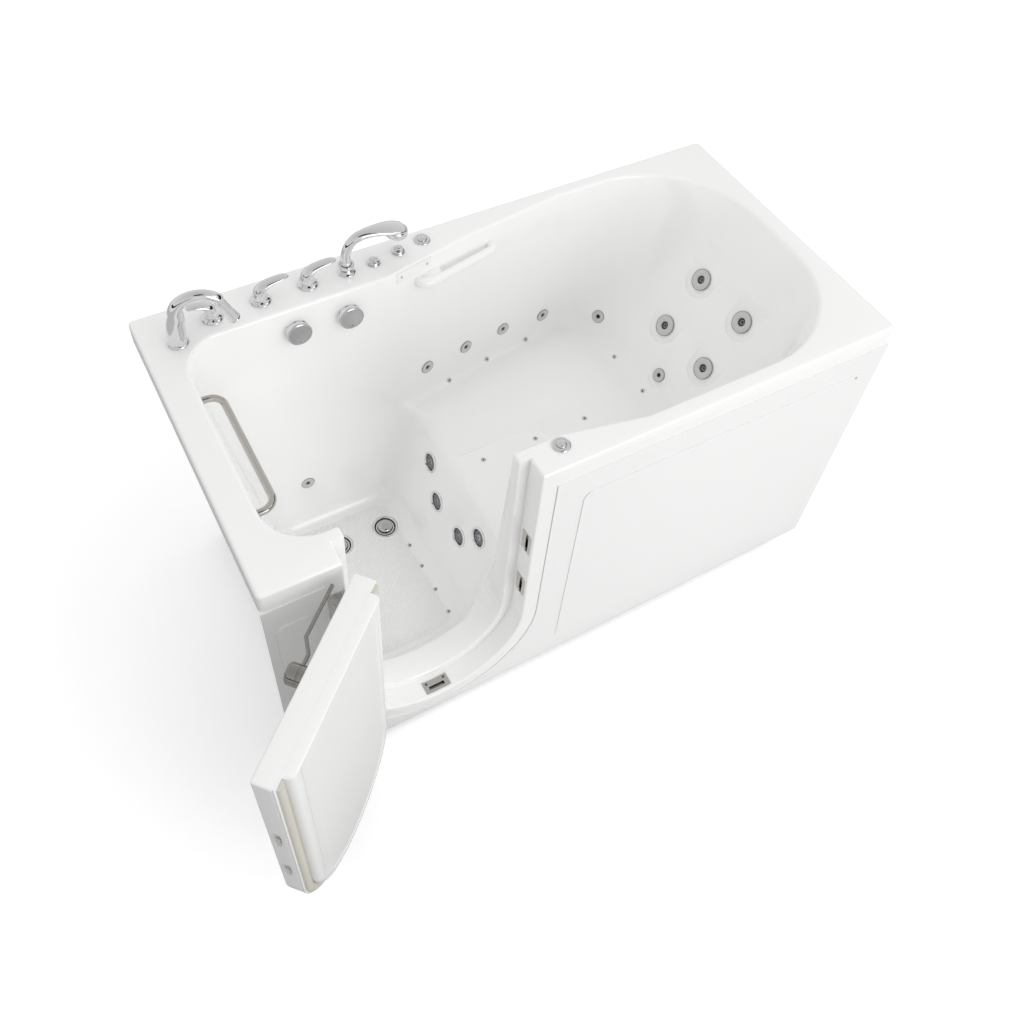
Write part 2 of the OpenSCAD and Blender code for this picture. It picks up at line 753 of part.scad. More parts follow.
module hinge_screws(side) for (foot = hinge_heights, z = [0.2, 0.5, 0.8])
    translate([hinge_x + side * (arm_reach + leaf_width * 0.6), -leaf, foot + z * hinge_length])
        screw(leaf + 3);
module flange_hinge_screws() place() color(steel) hinge_screws(-1);
module door_hinge_screws() on_open_door() color(steel) hinge_screws(1);

// ---------- latch ----------

// The hub stands on the door's outer face; its rod leaves level, steps outwards and runs on
// to the hinge side
module latch_handle() on_open_door() color(chrome) {
    difference() {
        bar_y([door_x, -hub_depth, handle_height], hub_depth - clear, hub_radius);
        bar_y([door_x, -hub_depth - cut, handle_height], 3, hub_radius - 5);
    }
    bar_y([door_x, -clear - cut, handle_height], spindle_length, spindle_radius);
    bar_x([rod_step, -rod_low, handle_height], door_x - hub_radius + 3 - rod_step, rod_radius);
    step = [rod_end_step - rod_step, -(rod_high - rod_low)];
    translate([rod_step, -rod_low, handle_height]) {
        sphere(r = rod_radius + rod_weld);
        rotate([0, 0, atan2(step.y, step.x)]) bar_x([0, 0, 0], norm(step), rod_radius);
    }
    translate([rod_end_step, -rod_high, handle_height]) sphere(r = rod_radius + rod_weld);
    bar_x([rod_tip, -rod_high, handle_height], rod_end_step - rod_tip, rod_radius);
}
// The disc that the spindle turns inside the door; its crank faces the bottom bolt's rod
module latch_cam() on_open_door() color(steel) difference() {
    union() {
        bar_y([door_x, cam_depth, handle_height], 6, cam_radius);
        bar_y([door_x, skin + clear, handle_height], cam_depth - skin - clear, 1.6 * spindle_radius);
    }
    bar_y([door_x, -cut, handle_height], cam_depth + 8, spindle_radius + running);
}

module side_bolt(z) {
    block([guide_left - 30, bolt_depth - blade / 2, z - blade_width / 2],
        [door_right + blade_rest, bolt_depth + blade / 2, z + blade_width / 2]);
    bar_x([door_x + 30, bolt_depth, z], guide_left - 30 - door_x - 30, rod_radius);
}
module upper_side_bolt() on_open_door() color(steel) side_bolt(side_bolt_heights[1]);
module lower_side_bolt() on_open_door() color(steel) side_bolt(side_bolt_heights[0]);
module bottom_bolt() on_open_door() color(steel) {
    block([door_x - blade_width / 2, bolt_depth - blade / 2, door_bottom - bottom_rest],
        [door_x + blade_width / 2, bolt_depth + blade / 2, door_bottom + 90]);
    bar_z([door_x, bolt_depth, door_bottom + 90], handle_height - cam_radius - clear - door_bottom - 90 - 2,
        rod_radius);
}
// Blocks on the door's front skin that the bolts slide through
module bolt_guides() on_open_door() color(dark) {
    for (z = side_bolt_heights) difference() {
        block([guide_left, skin, z - blade_width / 2 - 8],
            [door_right - skin - clear, bolt_depth + blade / 2 + 8, z + blade_width / 2 + 8]);
        block([guide_left - cut, bolt_depth - blade / 2 - running, z - blade_width / 2 - running],
            [door_right + cut, bolt_depth + blade / 2 + running, z + blade_width / 2 + running]);
    }
    difference() {
        block([door_x - blade_width / 2 - 8, skin, door_bottom + 14],
            [door_x + blade_width / 2 + 8, bolt_depth + blade / 2 + 8, door_bottom + 60]);
        block([door_x - blade_width / 2 - running, bolt_depth - blade / 2 - running, 0],
            [door_x + blade_width / 2 + running, bolt_depth + blade / 2 + running, handle_height]);
    }
    for (z = rod_guides) difference() {
        block([door_x - 12, skin, z], [door_x + 12, bolt_depth + rod_radius + 6, z + 14]);
        bar_z([door_x, bolt_depth, z - cut], 14 + 2 * cut, rod_radius + running);
    }
    for (z = side_bolt_heights) difference() {
        block([door_x + 60, skin, z - 12], [door_x + 74, bolt_depth + rod_radius + 6, z + 12]);
        bar_x([door_x + 60 - cut, bolt_depth, z], 14 + 2 * cut, rod_radius + running);
    }
}

// The slot that a bolt's blade enters, through the strike plate and the wall behind it
module jamb_slot(z) block([recess_right - 2 * strike, bolt_depth - blade / 2 - 2, z - blade_width / 2 - 2],
    [recess_right + wall + cut, bolt_depth + blade / 2 + 2, z + blade_width / 2 + 2]);
module sill_slot() block([door_x - blade_width / 2 - 2, bolt_depth - blade / 2 - 2, sill - wall - cut],
    [door_x + blade_width / 2 + 2, bolt_depth + blade / 2 + 2, sill + 6]);

module jamb_strike(z) difference() {
    block([recess_right - strike, bolt_depth + 4 - strike_width / 2, z - strike_length / 2],
        [recess_right, bolt_depth + 4 + strike_width / 2, z + strike_length / 2]);
    jamb_slot(z);
    for (side = [-1, 1]) bar_x([recess_right - 2 * strike, bolt_depth, z + side * strike_hole],
        3 * strike, screw_radius + running);
}
// The sill's plate is bent to the round bottom of the recess
module sill_strike() difference() {
    intersection() {
        doorway(recess_radius - clear, bolt_depth + 4 - strike_width / 2, bolt_depth + 4 + strike_width / 2, 400);
        block([door_x - strike_length / 2, 0, 0], [door_x + strike_length / 2, recess_depth, sill + 30]);
    }
    doorway(recess_radius - clear - strike, 0, recess_depth, 500);
    sill_slot();
}
module strike_plates() place() color(steel) {
    for (z = side_bolt_heights) jamb_strike(z);
    sill_strike();
}
module strike_screws() place() color(steel) for (z = side_bolt_heights, side = [-1, 1])
    translate([recess_right - strike, bolt_depth, z + side * strike_hole]) rotate([0, 0, -90]) screw(strike + 5);

// ---------- drains and overflows ----------

// A flange let into the floor, over a cup with a guide for the stopper's stem
module drain_bodies() place() color(chrome) for (at = drains) translate([at.x, at.y, 0]) difference() {
    union() {
        difference() {
            union() {
                translate([0, 0, floor_height - drain_seat]) cylinder(r = drain_radius, h = drain_seat + 1);
                translate([0, 0, drain_foot]) cylinder(r = drain_pipe, h = floor_height - drain_foot);
            }
            translate([0, 0, drain_foot + 3]) cylinder(r = drain_pipe - 3, h = floor_height);
        }
        translate([0, 0, drain_foot]) cylinder(r = 2 * stem_radius, h = guide_top - drain_foot);
    }
    translate([0, 0, drain_foot - cut]) cylinder(r = stem_radius + running, h = floor_height);
}
// A dome on a stem that slides in the drain's foot
module stopper(at) place() color(chrome) translate([at.x, at.y, 0]) {
    translate([0, 0, floor_height + 1 + clear]) intersection() {
        cylinder(r = stopper_radius, h = stopper_height);
        translate([0, 0, stopper_height - dome_radius]) sphere(r = dome_radius, $fn = 96);
    }
    translate([0, 0, drain_foot + 2]) cylinder(r = stem_radius, h = floor_height - drain_foot);
}
module right_stopper() stopper(drains[0]);
module left_stopper() stopper(drains[1]);

module overflow_bodies() place() color(chrome) for (at = overflows) on_wall(at) difference() {
    union() {
        translate([0, 0, -spot]) cylinder(r = knob_radius - 6, h = spot + 3);
        translate([0, 0, -40]) cylinder(r = overflow_pipe, h = 40);
    }
    translate([0, 0, -40 + 3]) cylinder(r = overflow_pipe - 3, h = 60);
    translate([0, 0, -40 - cut]) cylinder(r = stem_radius + running, h = 10);
}
module overflow_knob(at) place() color(chrome) on_wall(at) {
    translate([0, 0, knob_stand]) cylinder(r = knob_radius, h = knob_depth);
    translate([0, 0, knob_stand + knob_depth]) difference() {
        cylinder(r = knob_radius - 4, h = 1);
        translate([0, 0, -cut]) cylinder(r = knob_radius - 7, h = 1 + 2 * cut);
    }
    bar_y([0, knob_radius - 3, knob_stand + knob_depth / 2], 12, 4);
    translate([0, 0, -40 + 1]) cylinder(r = stem_radius, h = 40 + knob_stand);
}
module left_overflow_knob() overflow_knob(overflows[0]);
module right_overflow_knob() overflow_knob(overflows[1]);

// A pipe under the floor that joins the drains and runs to the outlet under the seat
module waste_pipe() place() color(dark) {
    for (at = drains) difference() {
        translate([at.x, at.y, waste_z - waste_radius]) cylinder(r = drain_pipe + 5, h = 2 * waste_radius);
        translate([at.x, at.y, 0]) cylinder(r = drain_pipe + clear, h = big);
    }
    gap = drain_pipe + 4;
    bar_x([drains[1].x + gap, waste_y, waste_z], drains[0].x - drains[1].x - 2 * gap, waste_radius);
    bar_x([drains[0].x + gap, waste_y, waste_z], waste_end - drains[0].x - gap, waste_radius);
}

// ---------- jets ----------

// Moves to a point on a wall, with +z out of the wall into the basin.
// at = [x, y, z, turn about z of the wall's normal, its rise above level]
module on_wall(at) translate([at[0], at[1], at[2]]) rotate([0, 0, at[3]]) rotate([0, 90 - at[4], 0])
    rotate([0, 0, 90]) children();

module jet_seats() {
    for (at = large_jets) on_wall(at) wall_seat(large_jet, large_bore);
    for (at = small_jets) on_wall(at) wall_seat(small_jet, small_bore);
    for (at = grilles) on_wall(at) wall_seat(grille_radius, grille_bore);
    for (at = overflows) on_wall(at) wall_seat(knob_radius - 6, overflow_pipe);
    for (at = air_jets) on_wall(at) wall_seat(air_jet, air_bore);
}
module wall_seat(face, bore) {
    translate([0, 0, -spot]) cylinder(r = face + clear, h = spot + 14);
    translate([0, 0, -40]) cylinder(r = bore + clear, h = 41);
}
// A ring on the wall around a hollow nozzle, with its housing behind the wall
module jet(face, bore, depth) difference() {
    union() {
        translate([0, 0, -spot]) cylinder(r = face, h = spot + 2);
        translate([0, 0, 2 - spot]) cylinder(r1 = face, r2 = face - 3, h = spot + 1);
        translate([0, 0, -depth]) cylinder(r = bore, h = depth);
    }
    translate([0, 0, -depth + 4]) cylinder(r = bore - 3, h = depth + 10);
}
module nozzle(bore, depth) difference() {
    translate([0, 0, -depth + 4]) cylinder(r1 = bore - 3, r2 = bore * 0.45, h = depth - 2);
    translate([0, 0, 4 - depth - cut]) cylinder(r = bore * 0.22, h = depth + 10);
}
module large_jets() place() color(dark) for (at = large_jets) on_wall(at) {
    jet(large_jet, large_bore, jet_depth);
    nozzle(large_bore, jet_depth);
}
module small_jets() place() color(dark) for (at = small_jets) on_wall(at) {
    jet(small_jet, small_bore, jet_depth);
    nozzle(small_bore, jet_depth);
}
module air_jets() place() color(dark) for (at = air_jets) on_wall(at) difference() {
    union() {
        translate([0, 0, -spot]) cylinder(r = air_jet, h = spot + 1.5);
        translate([0, 0, -air_depth]) cylinder(r = air_bore, h = air_depth);
    }
    translate([0, 0, -air_depth + 3]) cylinder(r = 2, h = air_depth + 4);
}
module footwell_grilles() place() color(chrome) for (i = [0:len(grilles) - 1]) on_wall(grilles[i])
    difference() {
        union() {
            translate([0, 0, -spot]) cylinder(r = grille_radius, h = spot + 3);
            translate([0, 0, -jet_depth]) cylinder(r = grille_bore, h = jet_depth);
        }
        translate([0, 0, 4 - jet_depth]) cylinder(r = grille_bore - 3, h = jet_depth - 7);
        if (i == nozzle_grille) translate([0, 0, -10]) cylinder(r = 9, h = 20);
        else for (ring = [1:3], k = [0:6 * ring - 1]) rotate([0, 0, k * 60 / ring])
            translate([ring * grille_bore / 4, 0, -10]) cylinder(r = 1.7, h = 20);
    }

// ---------- pump, blower and pipes under the seat ----------

module equipment_tray() place() color(steel)
    block([cross_rails[4], seat_rails[0] + bar + tray_edge, frame_top],
        [cross_rails[5] + bar, seat_rails[1] - tray_edge, frame_top + 3]);

module water_pump() place() color(dark) translate([pump_x, pump_y, frame_top + 3]) {
    bar_x([0, 0, pump_axis], 55, pump_radius);
    bar_x([55, 0, pump_axis], 190, pump_radius * 0.85);
    block([80, -50, 0], [220, 50, pump_axis - 40]);
    bar_z([28, 0, pump_axis], pump_radius + 40, 24);
}
module air_blower() place() color(dark) translate([pump_x + 90, blower_y, frame_top + 3]) {
    cylinder(r = 70, h = 70);
    translate([0, 0, 70]) cylinder(r = 50, h = 60);
    bar_x([40, -35, 30], 70, 20);
}
module inline_heater() place() color(steel) translate([pump_x + 230, blower_y, frame_top + 3]) {
    bar_x([0, 20, 50], 160, 28);
    for (x = [25, 125]) block([x, 0, 0], [x + 12, 40, 30]);
}
// Water goes from the pump along the tub and up behind the backrest
module water_manifold() place() color(dark) {
    top = frame_top + 3 + pump_axis + pump_radius + 40;
    bar_z([pump_x + 28, pump_y, top], 30, 20);
    bar_x([pump_x + 28, pump_y, top + 30], manifold_x - pump_x - 28, 20);
    translate([manifold_x, pump_y, top + 30]) sphere(r = 20);
    bar_z([manifold_x, pump_y, top + 30], manifold_z - top - 30, 20);
    bar_y([manifold_x, pump_y - 40, manifold_z], 300, 24);
}
module air_manifold() place() color(dark) {
    bar_z([air_x, blower_y - 35, frame_top + 3 + 30], under_seat - bar - frame_top - 60, 18);
    bar_x([pump_x + 90 + 110 + clear, blower_y - 35, frame_top + 3 + 30], air_x - pump_x - 200 - clear, 18);
    bar_y([air_x, blower_y - 35 - 140, under_seat - bar - 27], 220, 18);
}

// ---------- wall and deck fittings ----------

module grab_bar() place() color(steel) {
    for (y = grab_ends) bar_x([grab_root, y, grab_height], grab_x - grab_bend - grab_root, grab_radius);
    for (i = [0, 1]) translate([grab_x - grab_bend, grab_ends[i] + (i == 0 ? grab_bend : -grab_bend), grab_height])
        rotate([0, 0, i == 0 ? -90 : 0]) rotate_extrude(angle = 90)
            translate([grab_bend, 0]) circle(grab_radius);
    bar_y([grab_x, grab_ends[0] + grab_bend, grab_height], grab_ends[1] - grab_ends[0] - 2 * grab_bend, grab_radius);
    for (y = grab_ends) bar_x([grab_root, y, grab_height], 5, 1.6 * grab_radius);
}

module blank_plate() place() color(steel) on_wall(plate_at) difference() {
    translate([-plate_size.x / 2, -plate_size.y / 2, -spot]) cube([plate_size.x, plate_size.y, spot + 1]);
    for (side = [-1, 1]) translate([side * plate_hole, 0, -spot - cut])
        cylinder(r = screw_radius + running, h = 6);
}
module plate_screws() place() color(steel) for (side = [-1, 1])
    on_wall(plate_at) translate([side * plate_hole, 0, 1]) rotate([-90, 0, 0]) screw(spot + 5);

// A tail that goes through the deck, with its nut under it
module deck_tail(r) {
    translate([0, 0, -tail_length]) cylinder(r = r, h = tail_length);
    translate([0, 0, -wall - 8 - clear]) cylinder(r = r + 6, h = 8, $fn = 6);
}
module valve_bodies() place() color(chrome) for (at = valves) translate([at.x, at.y, rim_height]) difference() {
    union() {
        cylinder(r = valve_radius, h = 4);
        translate([0, 0, 4]) cylinder(r1 = valve_radius, r2 = 20, h = 8);
        deck_tail(tail_radius);
    }
    translate([0, 0, -30]) cylinder(r = stem_radius + running, h = 60);
}
// A hub with a tapering paddle that rises as it leaves it
module lever(at, turn, reach) place() color(chrome) translate([at.x, at.y, rim_height]) rotate([0, 0, turn]) {
    translate([0, 0, -29]) cylinder(r = stem_radius, h = 45);
    translate([0, 0, 12 + clear]) cylinder(r1 = 20, r2 = 16, h = 24);
    hull() {
        translate([0, 0, 36]) cylinder(r = 15, h = 12, $fn = hull_detail);
        translate([40, 0, 46]) cylinder(r = 12, h = 9, $fn = hull_detail);
    }
    hull() {
        translate([40, 0, 46]) cylinder(r = 12, h = 9, $fn = hull_detail);
        translate([reach - 11, 0, 58]) cylinder(r = 11, h = 5, $fn = hull_detail);
    }
}
module left_lever() lever(valves[0], 180, lever_reaches[0]);
module middle_lever() lever(valves[1], 0, lever_reaches[1]);
module right_lever() lever(valves[2], 0, lever_reaches[2]);

module spout_base() place() color(chrome) translate([spout_at.x, spout_at.y, rim_height]) difference() {
    union() { cylinder(r = spout_foot, h = 10); deck_tail(tail_radius); }
    translate([0, 0, -tail_length + 6]) cylinder(r = 12 + running, h = 100);
}
// Section of the spout's tube, a flat bar with round sides
module spout_section() {
    side = (spout_tube.x - spout_tube.y) / 2;
    square([spout_tube.y, 2 * side], center = true);
    for (y = [-side, side]) translate([0, y]) circle(spout_tube.y / 2);
}
// A flat tube that stands up, bends over and falls at a slope
module spout() place() color(chrome) translate([spout_at.x, spout_at.y, rim_height]) {
    translate([0, 0, -tail_length + 7]) cylinder(r = 12, h = tail_length + 3 + clear);
    translate([0, 0, 10 + clear]) cylinder(r = 22, h = 14);
    leg_start = 20;
    rotate([0, 0, spout_turn]) {
        translate([0, 0, leg_start]) linear_extrude(spout_rise - leg_start) spout_section();
        translate([spout_bend, 0, spout_rise]) rotate([90, 0, 0]) {
            rotate([0, 0, spout_fall])
                rotate_extrude(angle = 180 - spout_fall) translate([spout_bend, 0]) spout_section();
            rotate([0, 0, spout_fall]) translate([spout_bend, 0]) rotate([90, 0, 0])
                linear_extrude(spout_drop) spout_section();
        }
    }
}

module shower_holder() place() color(chrome) translate([shower_at.x, shower_at.y, rim_height]) difference() {
    union() {
        cylinder(r = 25, h = 4);
        translate([0, 0, 4]) cylinder(r1 = 18, r2 = 23, h = 26);
        deck_tail(shower_tail);
    }
    translate([0, 0, -tail_length - cut]) cylinder(r = shower_stem + running, h = big);
}
module hand_shower() place() color(chrome) translate([shower_at.x, shower_at.y, rim_height]) {
    translate([0, 0, -tail_length + 4]) cylinder(r = shower_stem, h = tail_length + 42);
    translate([0, 0, 30 + clear]) cylinder(r = 15, h = 8);
    translate([shower_bend, 0, 45]) rotate([90, 0, 0]) rotate([0, 0, 60])
        rotate_extrude(angle = 120) translate([shower_bend, 0]) circle(shower_neck);
    translate([shower_bend, 0, 45]) rotate([0, 30, 0]) translate([-6, 0, shower_bend])
        bar_x([0, 0, 0], 46, shower_neck + 2);
    hull() for (x = [0, 26]) translate([shower_head.x + x, 0, shower_head.y - x * 0.15])
        rotate([0, 8, 0]) cylinder(r1 = 30, r2 = 24, h = 20, $fn = hull_detail);
}

module knob_bodies() place() color(chrome) for (at = air_knobs) translate([at.x, at.y, rim_height]) difference() {
    union() { cylinder(r = 20, h = 4); deck_tail(knob_tail); }
    translate([0, 0, -tail_length - cut]) cylinder(r = stem_radius + running, h = big);
}
module air_knob(at) place() color(chrome) translate([at.x, at.y, rim_height]) {
    translate([0, 0, -30]) cylinder(r = stem_radius, h = 40);
    translate([0, 0, 4 + clear]) cylinder(r1 = 18, r2 = 13, h = 8);
    translate([0, 0, 12]) linear_extrude(7) {
        circle(9);
        for (k = [0:4]) rotate(72 * k) translate([9, 0]) circle(3.5);
    }
}
module left_air_knob() air_knob(air_knobs[0]);
module right_air_knob() air_knob(air_knobs[1]);

module button_bodies() place() color(chrome) for (at = buttons) translate([at.x, at.y, rim_height]) difference() {
    union() { cylinder(r = button_radius, h = 5); deck_tail(button_tail); }
    translate([0, 0, -tail_length + 3]) cylinder(r = 13, h = big);
}
module push_button(at) place() color(chrome) translate([at.x, at.y, rim_height - 6]) {
    cylinder(r = 13 - running, h = 12);
    translate([0, 0, 12]) intersection() {
        cylinder(r = 13 - running, h = 4);
        translate([0, 0, 3 - 26]) sphere(r = 26, $fn = 96);
    }
}
module back_button() push_button(buttons[0]);
module front_button() push_button(buttons[1]);

tub_shell();
wall_grip();
front_apron();
front_access_panel();
left_access_panel();
panel_screws();
base_frame();
levelling_feet();
centre_foot();
strike_plates();
strike_screws();
door_outer_shell();
door_inner_panel();
door_gasket();
fixed_hinge_leaves();
door_hinge_leaves();
hinge_pins();
flange_hinge_screws();
door_hinge_screws();
latch_handle();
latch_cam();
upper_side_bolt();
lower_side_bolt();
bottom_bolt();
bolt_guides();
drain_bodies();
left_stopper();
right_stopper();
overflow_bodies();
left_overflow_knob();
right_overflow_knob();
waste_pipe();
large_jets();
small_jets();
air_jets();
footwell_grilles();
equipment_tray();
water_pump();
air_blower();
inline_heater();
water_manifold();
air_manifold();
grab_bar();
blank_plate();
plate_screws();
valve_bodies();
left_lever();
middle_lever();
right_lever();
spout_base();
spout();
shower_holder();
hand_shower();
knob_bodies();
left_air_knob();
right_air_knob();
button_bodies();
back_button();
front_button();
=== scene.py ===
import math

import bmesh
import bpy
from mathutils import Matrix, Vector


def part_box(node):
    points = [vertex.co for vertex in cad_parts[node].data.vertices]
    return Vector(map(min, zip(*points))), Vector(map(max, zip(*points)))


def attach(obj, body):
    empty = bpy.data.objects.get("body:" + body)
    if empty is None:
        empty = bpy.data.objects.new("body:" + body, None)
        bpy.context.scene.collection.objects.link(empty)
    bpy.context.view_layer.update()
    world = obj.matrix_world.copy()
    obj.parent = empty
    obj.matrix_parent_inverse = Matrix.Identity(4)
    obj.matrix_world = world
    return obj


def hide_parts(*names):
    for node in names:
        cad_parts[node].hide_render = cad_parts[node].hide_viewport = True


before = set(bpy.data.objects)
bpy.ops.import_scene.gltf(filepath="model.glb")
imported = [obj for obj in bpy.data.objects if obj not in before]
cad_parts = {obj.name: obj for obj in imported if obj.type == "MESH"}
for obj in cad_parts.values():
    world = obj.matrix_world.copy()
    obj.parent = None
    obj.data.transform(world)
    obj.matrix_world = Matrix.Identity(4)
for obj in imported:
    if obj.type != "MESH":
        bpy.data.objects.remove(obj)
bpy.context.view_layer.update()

# ---------- view ----------
# The camera looks down at the door side from the footwell end. A pale floor and an even white surround give
# the plain studio light, and glossy surfaces also see a few darker bands. To the left of the tub, the light
# the floor bounces is painted dark: painted shade for the open door's shadow.


def nodes_of(holder):
    """Empties a node tree and returns a function that adds a node with settings and inputs."""
    tree = holder.node_tree
    tree.nodes.clear()

    def add(kind, settings=None, **inputs):
        made = tree.nodes.new("ShaderNode" + kind)
        for key, value in (settings or {}).items():
            setattr(made, key, value)
        for key, value in inputs.items():
            socket = made.inputs[int(key[1:])] if key[0] == "_" else made.inputs[key.replace("_", " ")]
            if isinstance(value, bpy.types.NodeSocket):
                tree.links.new(value, socket)
            else:
                socket.default_value = value
        return made

    return add


camera_data = bpy.data.cameras.new("camera")
camera_data.sensor_width = 36.0
camera_data.lens = 36.31
camera_data.shift_x = 0.0193
camera_data.shift_y = -0.0801
camera = bpy.data.objects.new("camera", camera_data)
right = Vector((0.87261, -0.48540, 0.05411))
above = Vector((0.34922, 0.69754, 0.62568))
axes = Matrix((right, above, right.cross(above))).transposed().to_4x4()
camera.matrix_world = Matrix.Translation((-1.0987, -1.5976, 2.9470)) @ axes
bpy.context.scene.collection.objects.link(camera)
bpy.context.scene.camera = camera
bpy.context.scene.view_settings.view_transform = "Standard"
bpy.context.scene.cycles.diffuse_bounces = 8

world = bpy.data.worlds.new("studio")
bpy.context.scene.world = world
world.use_nodes = True
add = nodes_of(world)
rays = add("LightPath")
direction = add("TexCoord")
height = add("SeparateXYZ", Vector=direction.outputs["Generated"]).outputs["Z"]


def toward(aim):
    """How nearly a direction points at the aim, up to 1."""
    return add("VectorMath", {"operation": "DOT_PRODUCT"}, _0=direction.outputs["Generated"],
               _1=aim).outputs["Value"]


def flag(turn, low, high, aim):
    """A dark card of the studio, seen in the chrome: 1 inside its height and its turn."""
    side = add("MapRange", Value=toward(aim), _1=turn, _2=turn + 0.03).outputs[0]
    middle = add("Math", {"operation": "SUBTRACT"}, _0=height, _1=(low + high) / 2).outputs[0]
    apart = add("Math", {"operation": "ABSOLUTE"}, _0=middle).outputs[0]
    band = add("MapRange", Value=apart, _1=(high - low) / 2, _2=(high - low) / 2 + 0.02, _3=1.0,
               _4=0.0).outputs[0]
    return add("Math", {"operation": "MULTIPLY"}, _0=side, _1=band).outputs[0]


overhead = toward((0.0, -0.45, 0.89))
cards = add("Math", {"operation": "MAXIMUM"}, _0=flag(0.72, 0.05, 0.40, (0.97, -0.25, 0.0)),
            _1=add("MapRange", Value=overhead, _1=0.965, _2=0.972).outputs[0]).outputs[0]
cards = add("Math", {"operation": "MAXIMUM"}, _0=flag(0.60, 0.10, 0.24, (-0.95, -0.30, 0.0)),
            _1=cards).outputs[0]
glow = add("MapRange", Value=height, _2=0.95, _3=0.84, _4=0.62).outputs[0]
tones = add("Mix", {"data_type": "RGBA"}, _0=cards, _6=glow, _7=(0.015, 0.015, 0.016, 1))
dimmed = add("MapRange", Value=toward((-0.94, -0.32, -0.1)), _2=0.8, _3=0.90, _4=0.72)
shown = add("Mix", {"data_type": "RGBA"}, _0=rays.outputs["Is Glossy Ray"],
            _6=dimmed.outputs[0], _7=tones.outputs[2])
seen = add("Mix", {"data_type": "RGBA"}, _0=rays.outputs["Is Camera Ray"],
           _6=shown.outputs[2], _7=(1, 1, 1, 1))
add("OutputWorld", Surface=add("Background", Color=seen.outputs[2]).outputs[0])


def lamp(name, place, target, size, power):
    data = bpy.data.lights.new(name, "AREA")
    data.size = size
    data.energy = power
    made = bpy.data.objects.new(name, data)
    made.location = place
    made.rotation_euler = (Vector(target) - Vector(place)).to_track_quat("-Z", "Y").to_euler()
    bpy.context.scene.collection.objects.link(made)


lamp("key", (2.6, -2.2, 3.2), (0, 0, 0.6), 1.8, 6)
lamp("front", (0.9, -4.5, 1.9), (0, 0, 0.6), 2.4, 50)

floor_half = 9.0
bm = bmesh.new()
bmesh.ops.create_grid(bm, x_segments=1, y_segments=1, size=floor_half)
floor_mesh = bpy.data.meshes.new("floor")
bm.to_mesh(floor_mesh)
bm.free()
floor = bpy.data.objects.new("floor", floor_mesh)
bpy.context.scene.collection.objects.link(floor)
floor_paint = bpy.data.materials.new("floor")
floor_paint.use_nodes = True
add = nodes_of(floor_paint)
rays = add("LightPath")
place = add("SeparateXYZ", Vector=add("TexCoord").outputs["Object"])
# The light the floor bounces is painted dark to the left of the tub, round the open door: painted shade, so
# that the left front panel behind the door lies in shade.
painted_shade_bounce = add("MapRange", Value=place.outputs["X"], _1=-0.85, _2=-0.35, _3=0.05, _4=0.78)
painted_shade_bounce = add("Mix", {"data_type": "FLOAT"}, _0=rays.outputs["Is Glossy Ray"],
             _2=painted_shade_bounce.outputs[0], _3=0.62)
tone = add("Mix", {"data_type": "RGBA"}, _0=rays.outputs["Is Camera Ray"],
           _6=painted_shade_bounce.outputs[0], _7=(0.96, 0.96, 0.96, 1))
matt = add("BsdfDiffuse", Color=tone.outputs[2])
glow = add("Emission", Color=(1, 1, 1, 1), Strength=0.25)
lifted = add("AddShader", _0=matt.outputs[0], _1=glow.outputs[0])
painted = add("MixShader", _0=rays.outputs["Is Camera Ray"], _1=matt.outputs[0], _2=lifted.outputs[0])
add("OutputMaterial", Surface=painted.outputs[0])
floor_mesh.materials.append(floor_paint)

# ---------- tub shell ----------
# One vacuum-formed sheet of gloss white acrylic: the deck with its hanging lip, the footwell, the
# seat basin that widens behind the door, and the U of the doorway. It rests on the steel frame.


def material(name, colour, rough, metal=0.0, coat=0.0, second=None, scale=6.0, spread=0.05,
             bump=0.0, bump_scale=60.0, stretch=(1, 1, 1), anisotropic=0.0):
    """A principled finish whose colour and roughness drift with soft noise over a fine relief."""
    made = bpy.data.materials.new(name)
    made.use_nodes = True
    add = nodes_of(made)
    place = add("TexCoord").outputs["Object"]
    place = add("Mapping", Vector=place, Scale=stretch).outputs[0]
    cloud = add("TexNoise", Vector=place, Scale=scale, Detail=3.0).outputs["Fac"]
    tint = add("Mix", {"data_type": "RGBA"}, _0=cloud, _6=(*colour, 1),
               _7=(*(second or [c * 0.97 for c in colour]), 1)).outputs[2]
    dull = add("MapRange", Value=cloud, _3=max(rough - spread, 0.01), _4=rough + spread).outputs[0]
    grain = add("TexNoise", Vector=place, Scale=bump_scale, Detail=4.0).outputs["Fac"]
    relief = add("Bump", Height=grain, Strength=bump, Distance=0.001).outputs[0]
    shader = add("BsdfPrincipled", Base_Color=tint, Roughness=dull, Metallic=metal,
                 Coat_Weight=coat, Coat_Roughness=0.04, Anisotropic=anisotropic, Normal=relief)
    add("OutputMaterial", Surface=shader.outputs[0])
    return made


acrylic = material("gloss_acrylic", (0.975, 0.975, 0.968), 0.16, coat=0.4, scale=2.5,
                   second=(0.962, 0.961, 0.952), bump=0.04, bump_scale=9.0)


# From millimetres, counted from the tub's left front corner, to metres in the row frame
to_row = Matrix.Translation((-0.9145, -0.45725, 0)) @ Matrix.Scale(0.001, 4)


def add_object(name, bm, finish, smooth_angle=35):
    """A mesh object of millimetre geometry, moved to the row frame, with one finish."""
    mesh = bpy.data.meshes.new(name)
    bmesh.ops.recalc_face_normals(bm, faces=bm.faces)
    bm.to_mesh(mesh)
    bm.free()
    mesh.transform(to_row)
    mesh.shade_smooth()
    mesh.set_sharp_from_angle(angle=math.radians(smooth_angle))
    made = bpy.data.objects.new(name, mesh)
    bpy.context.scene.collection.objects.link(made)
    if finish:
        mesh.materials.append(finish)
    return made


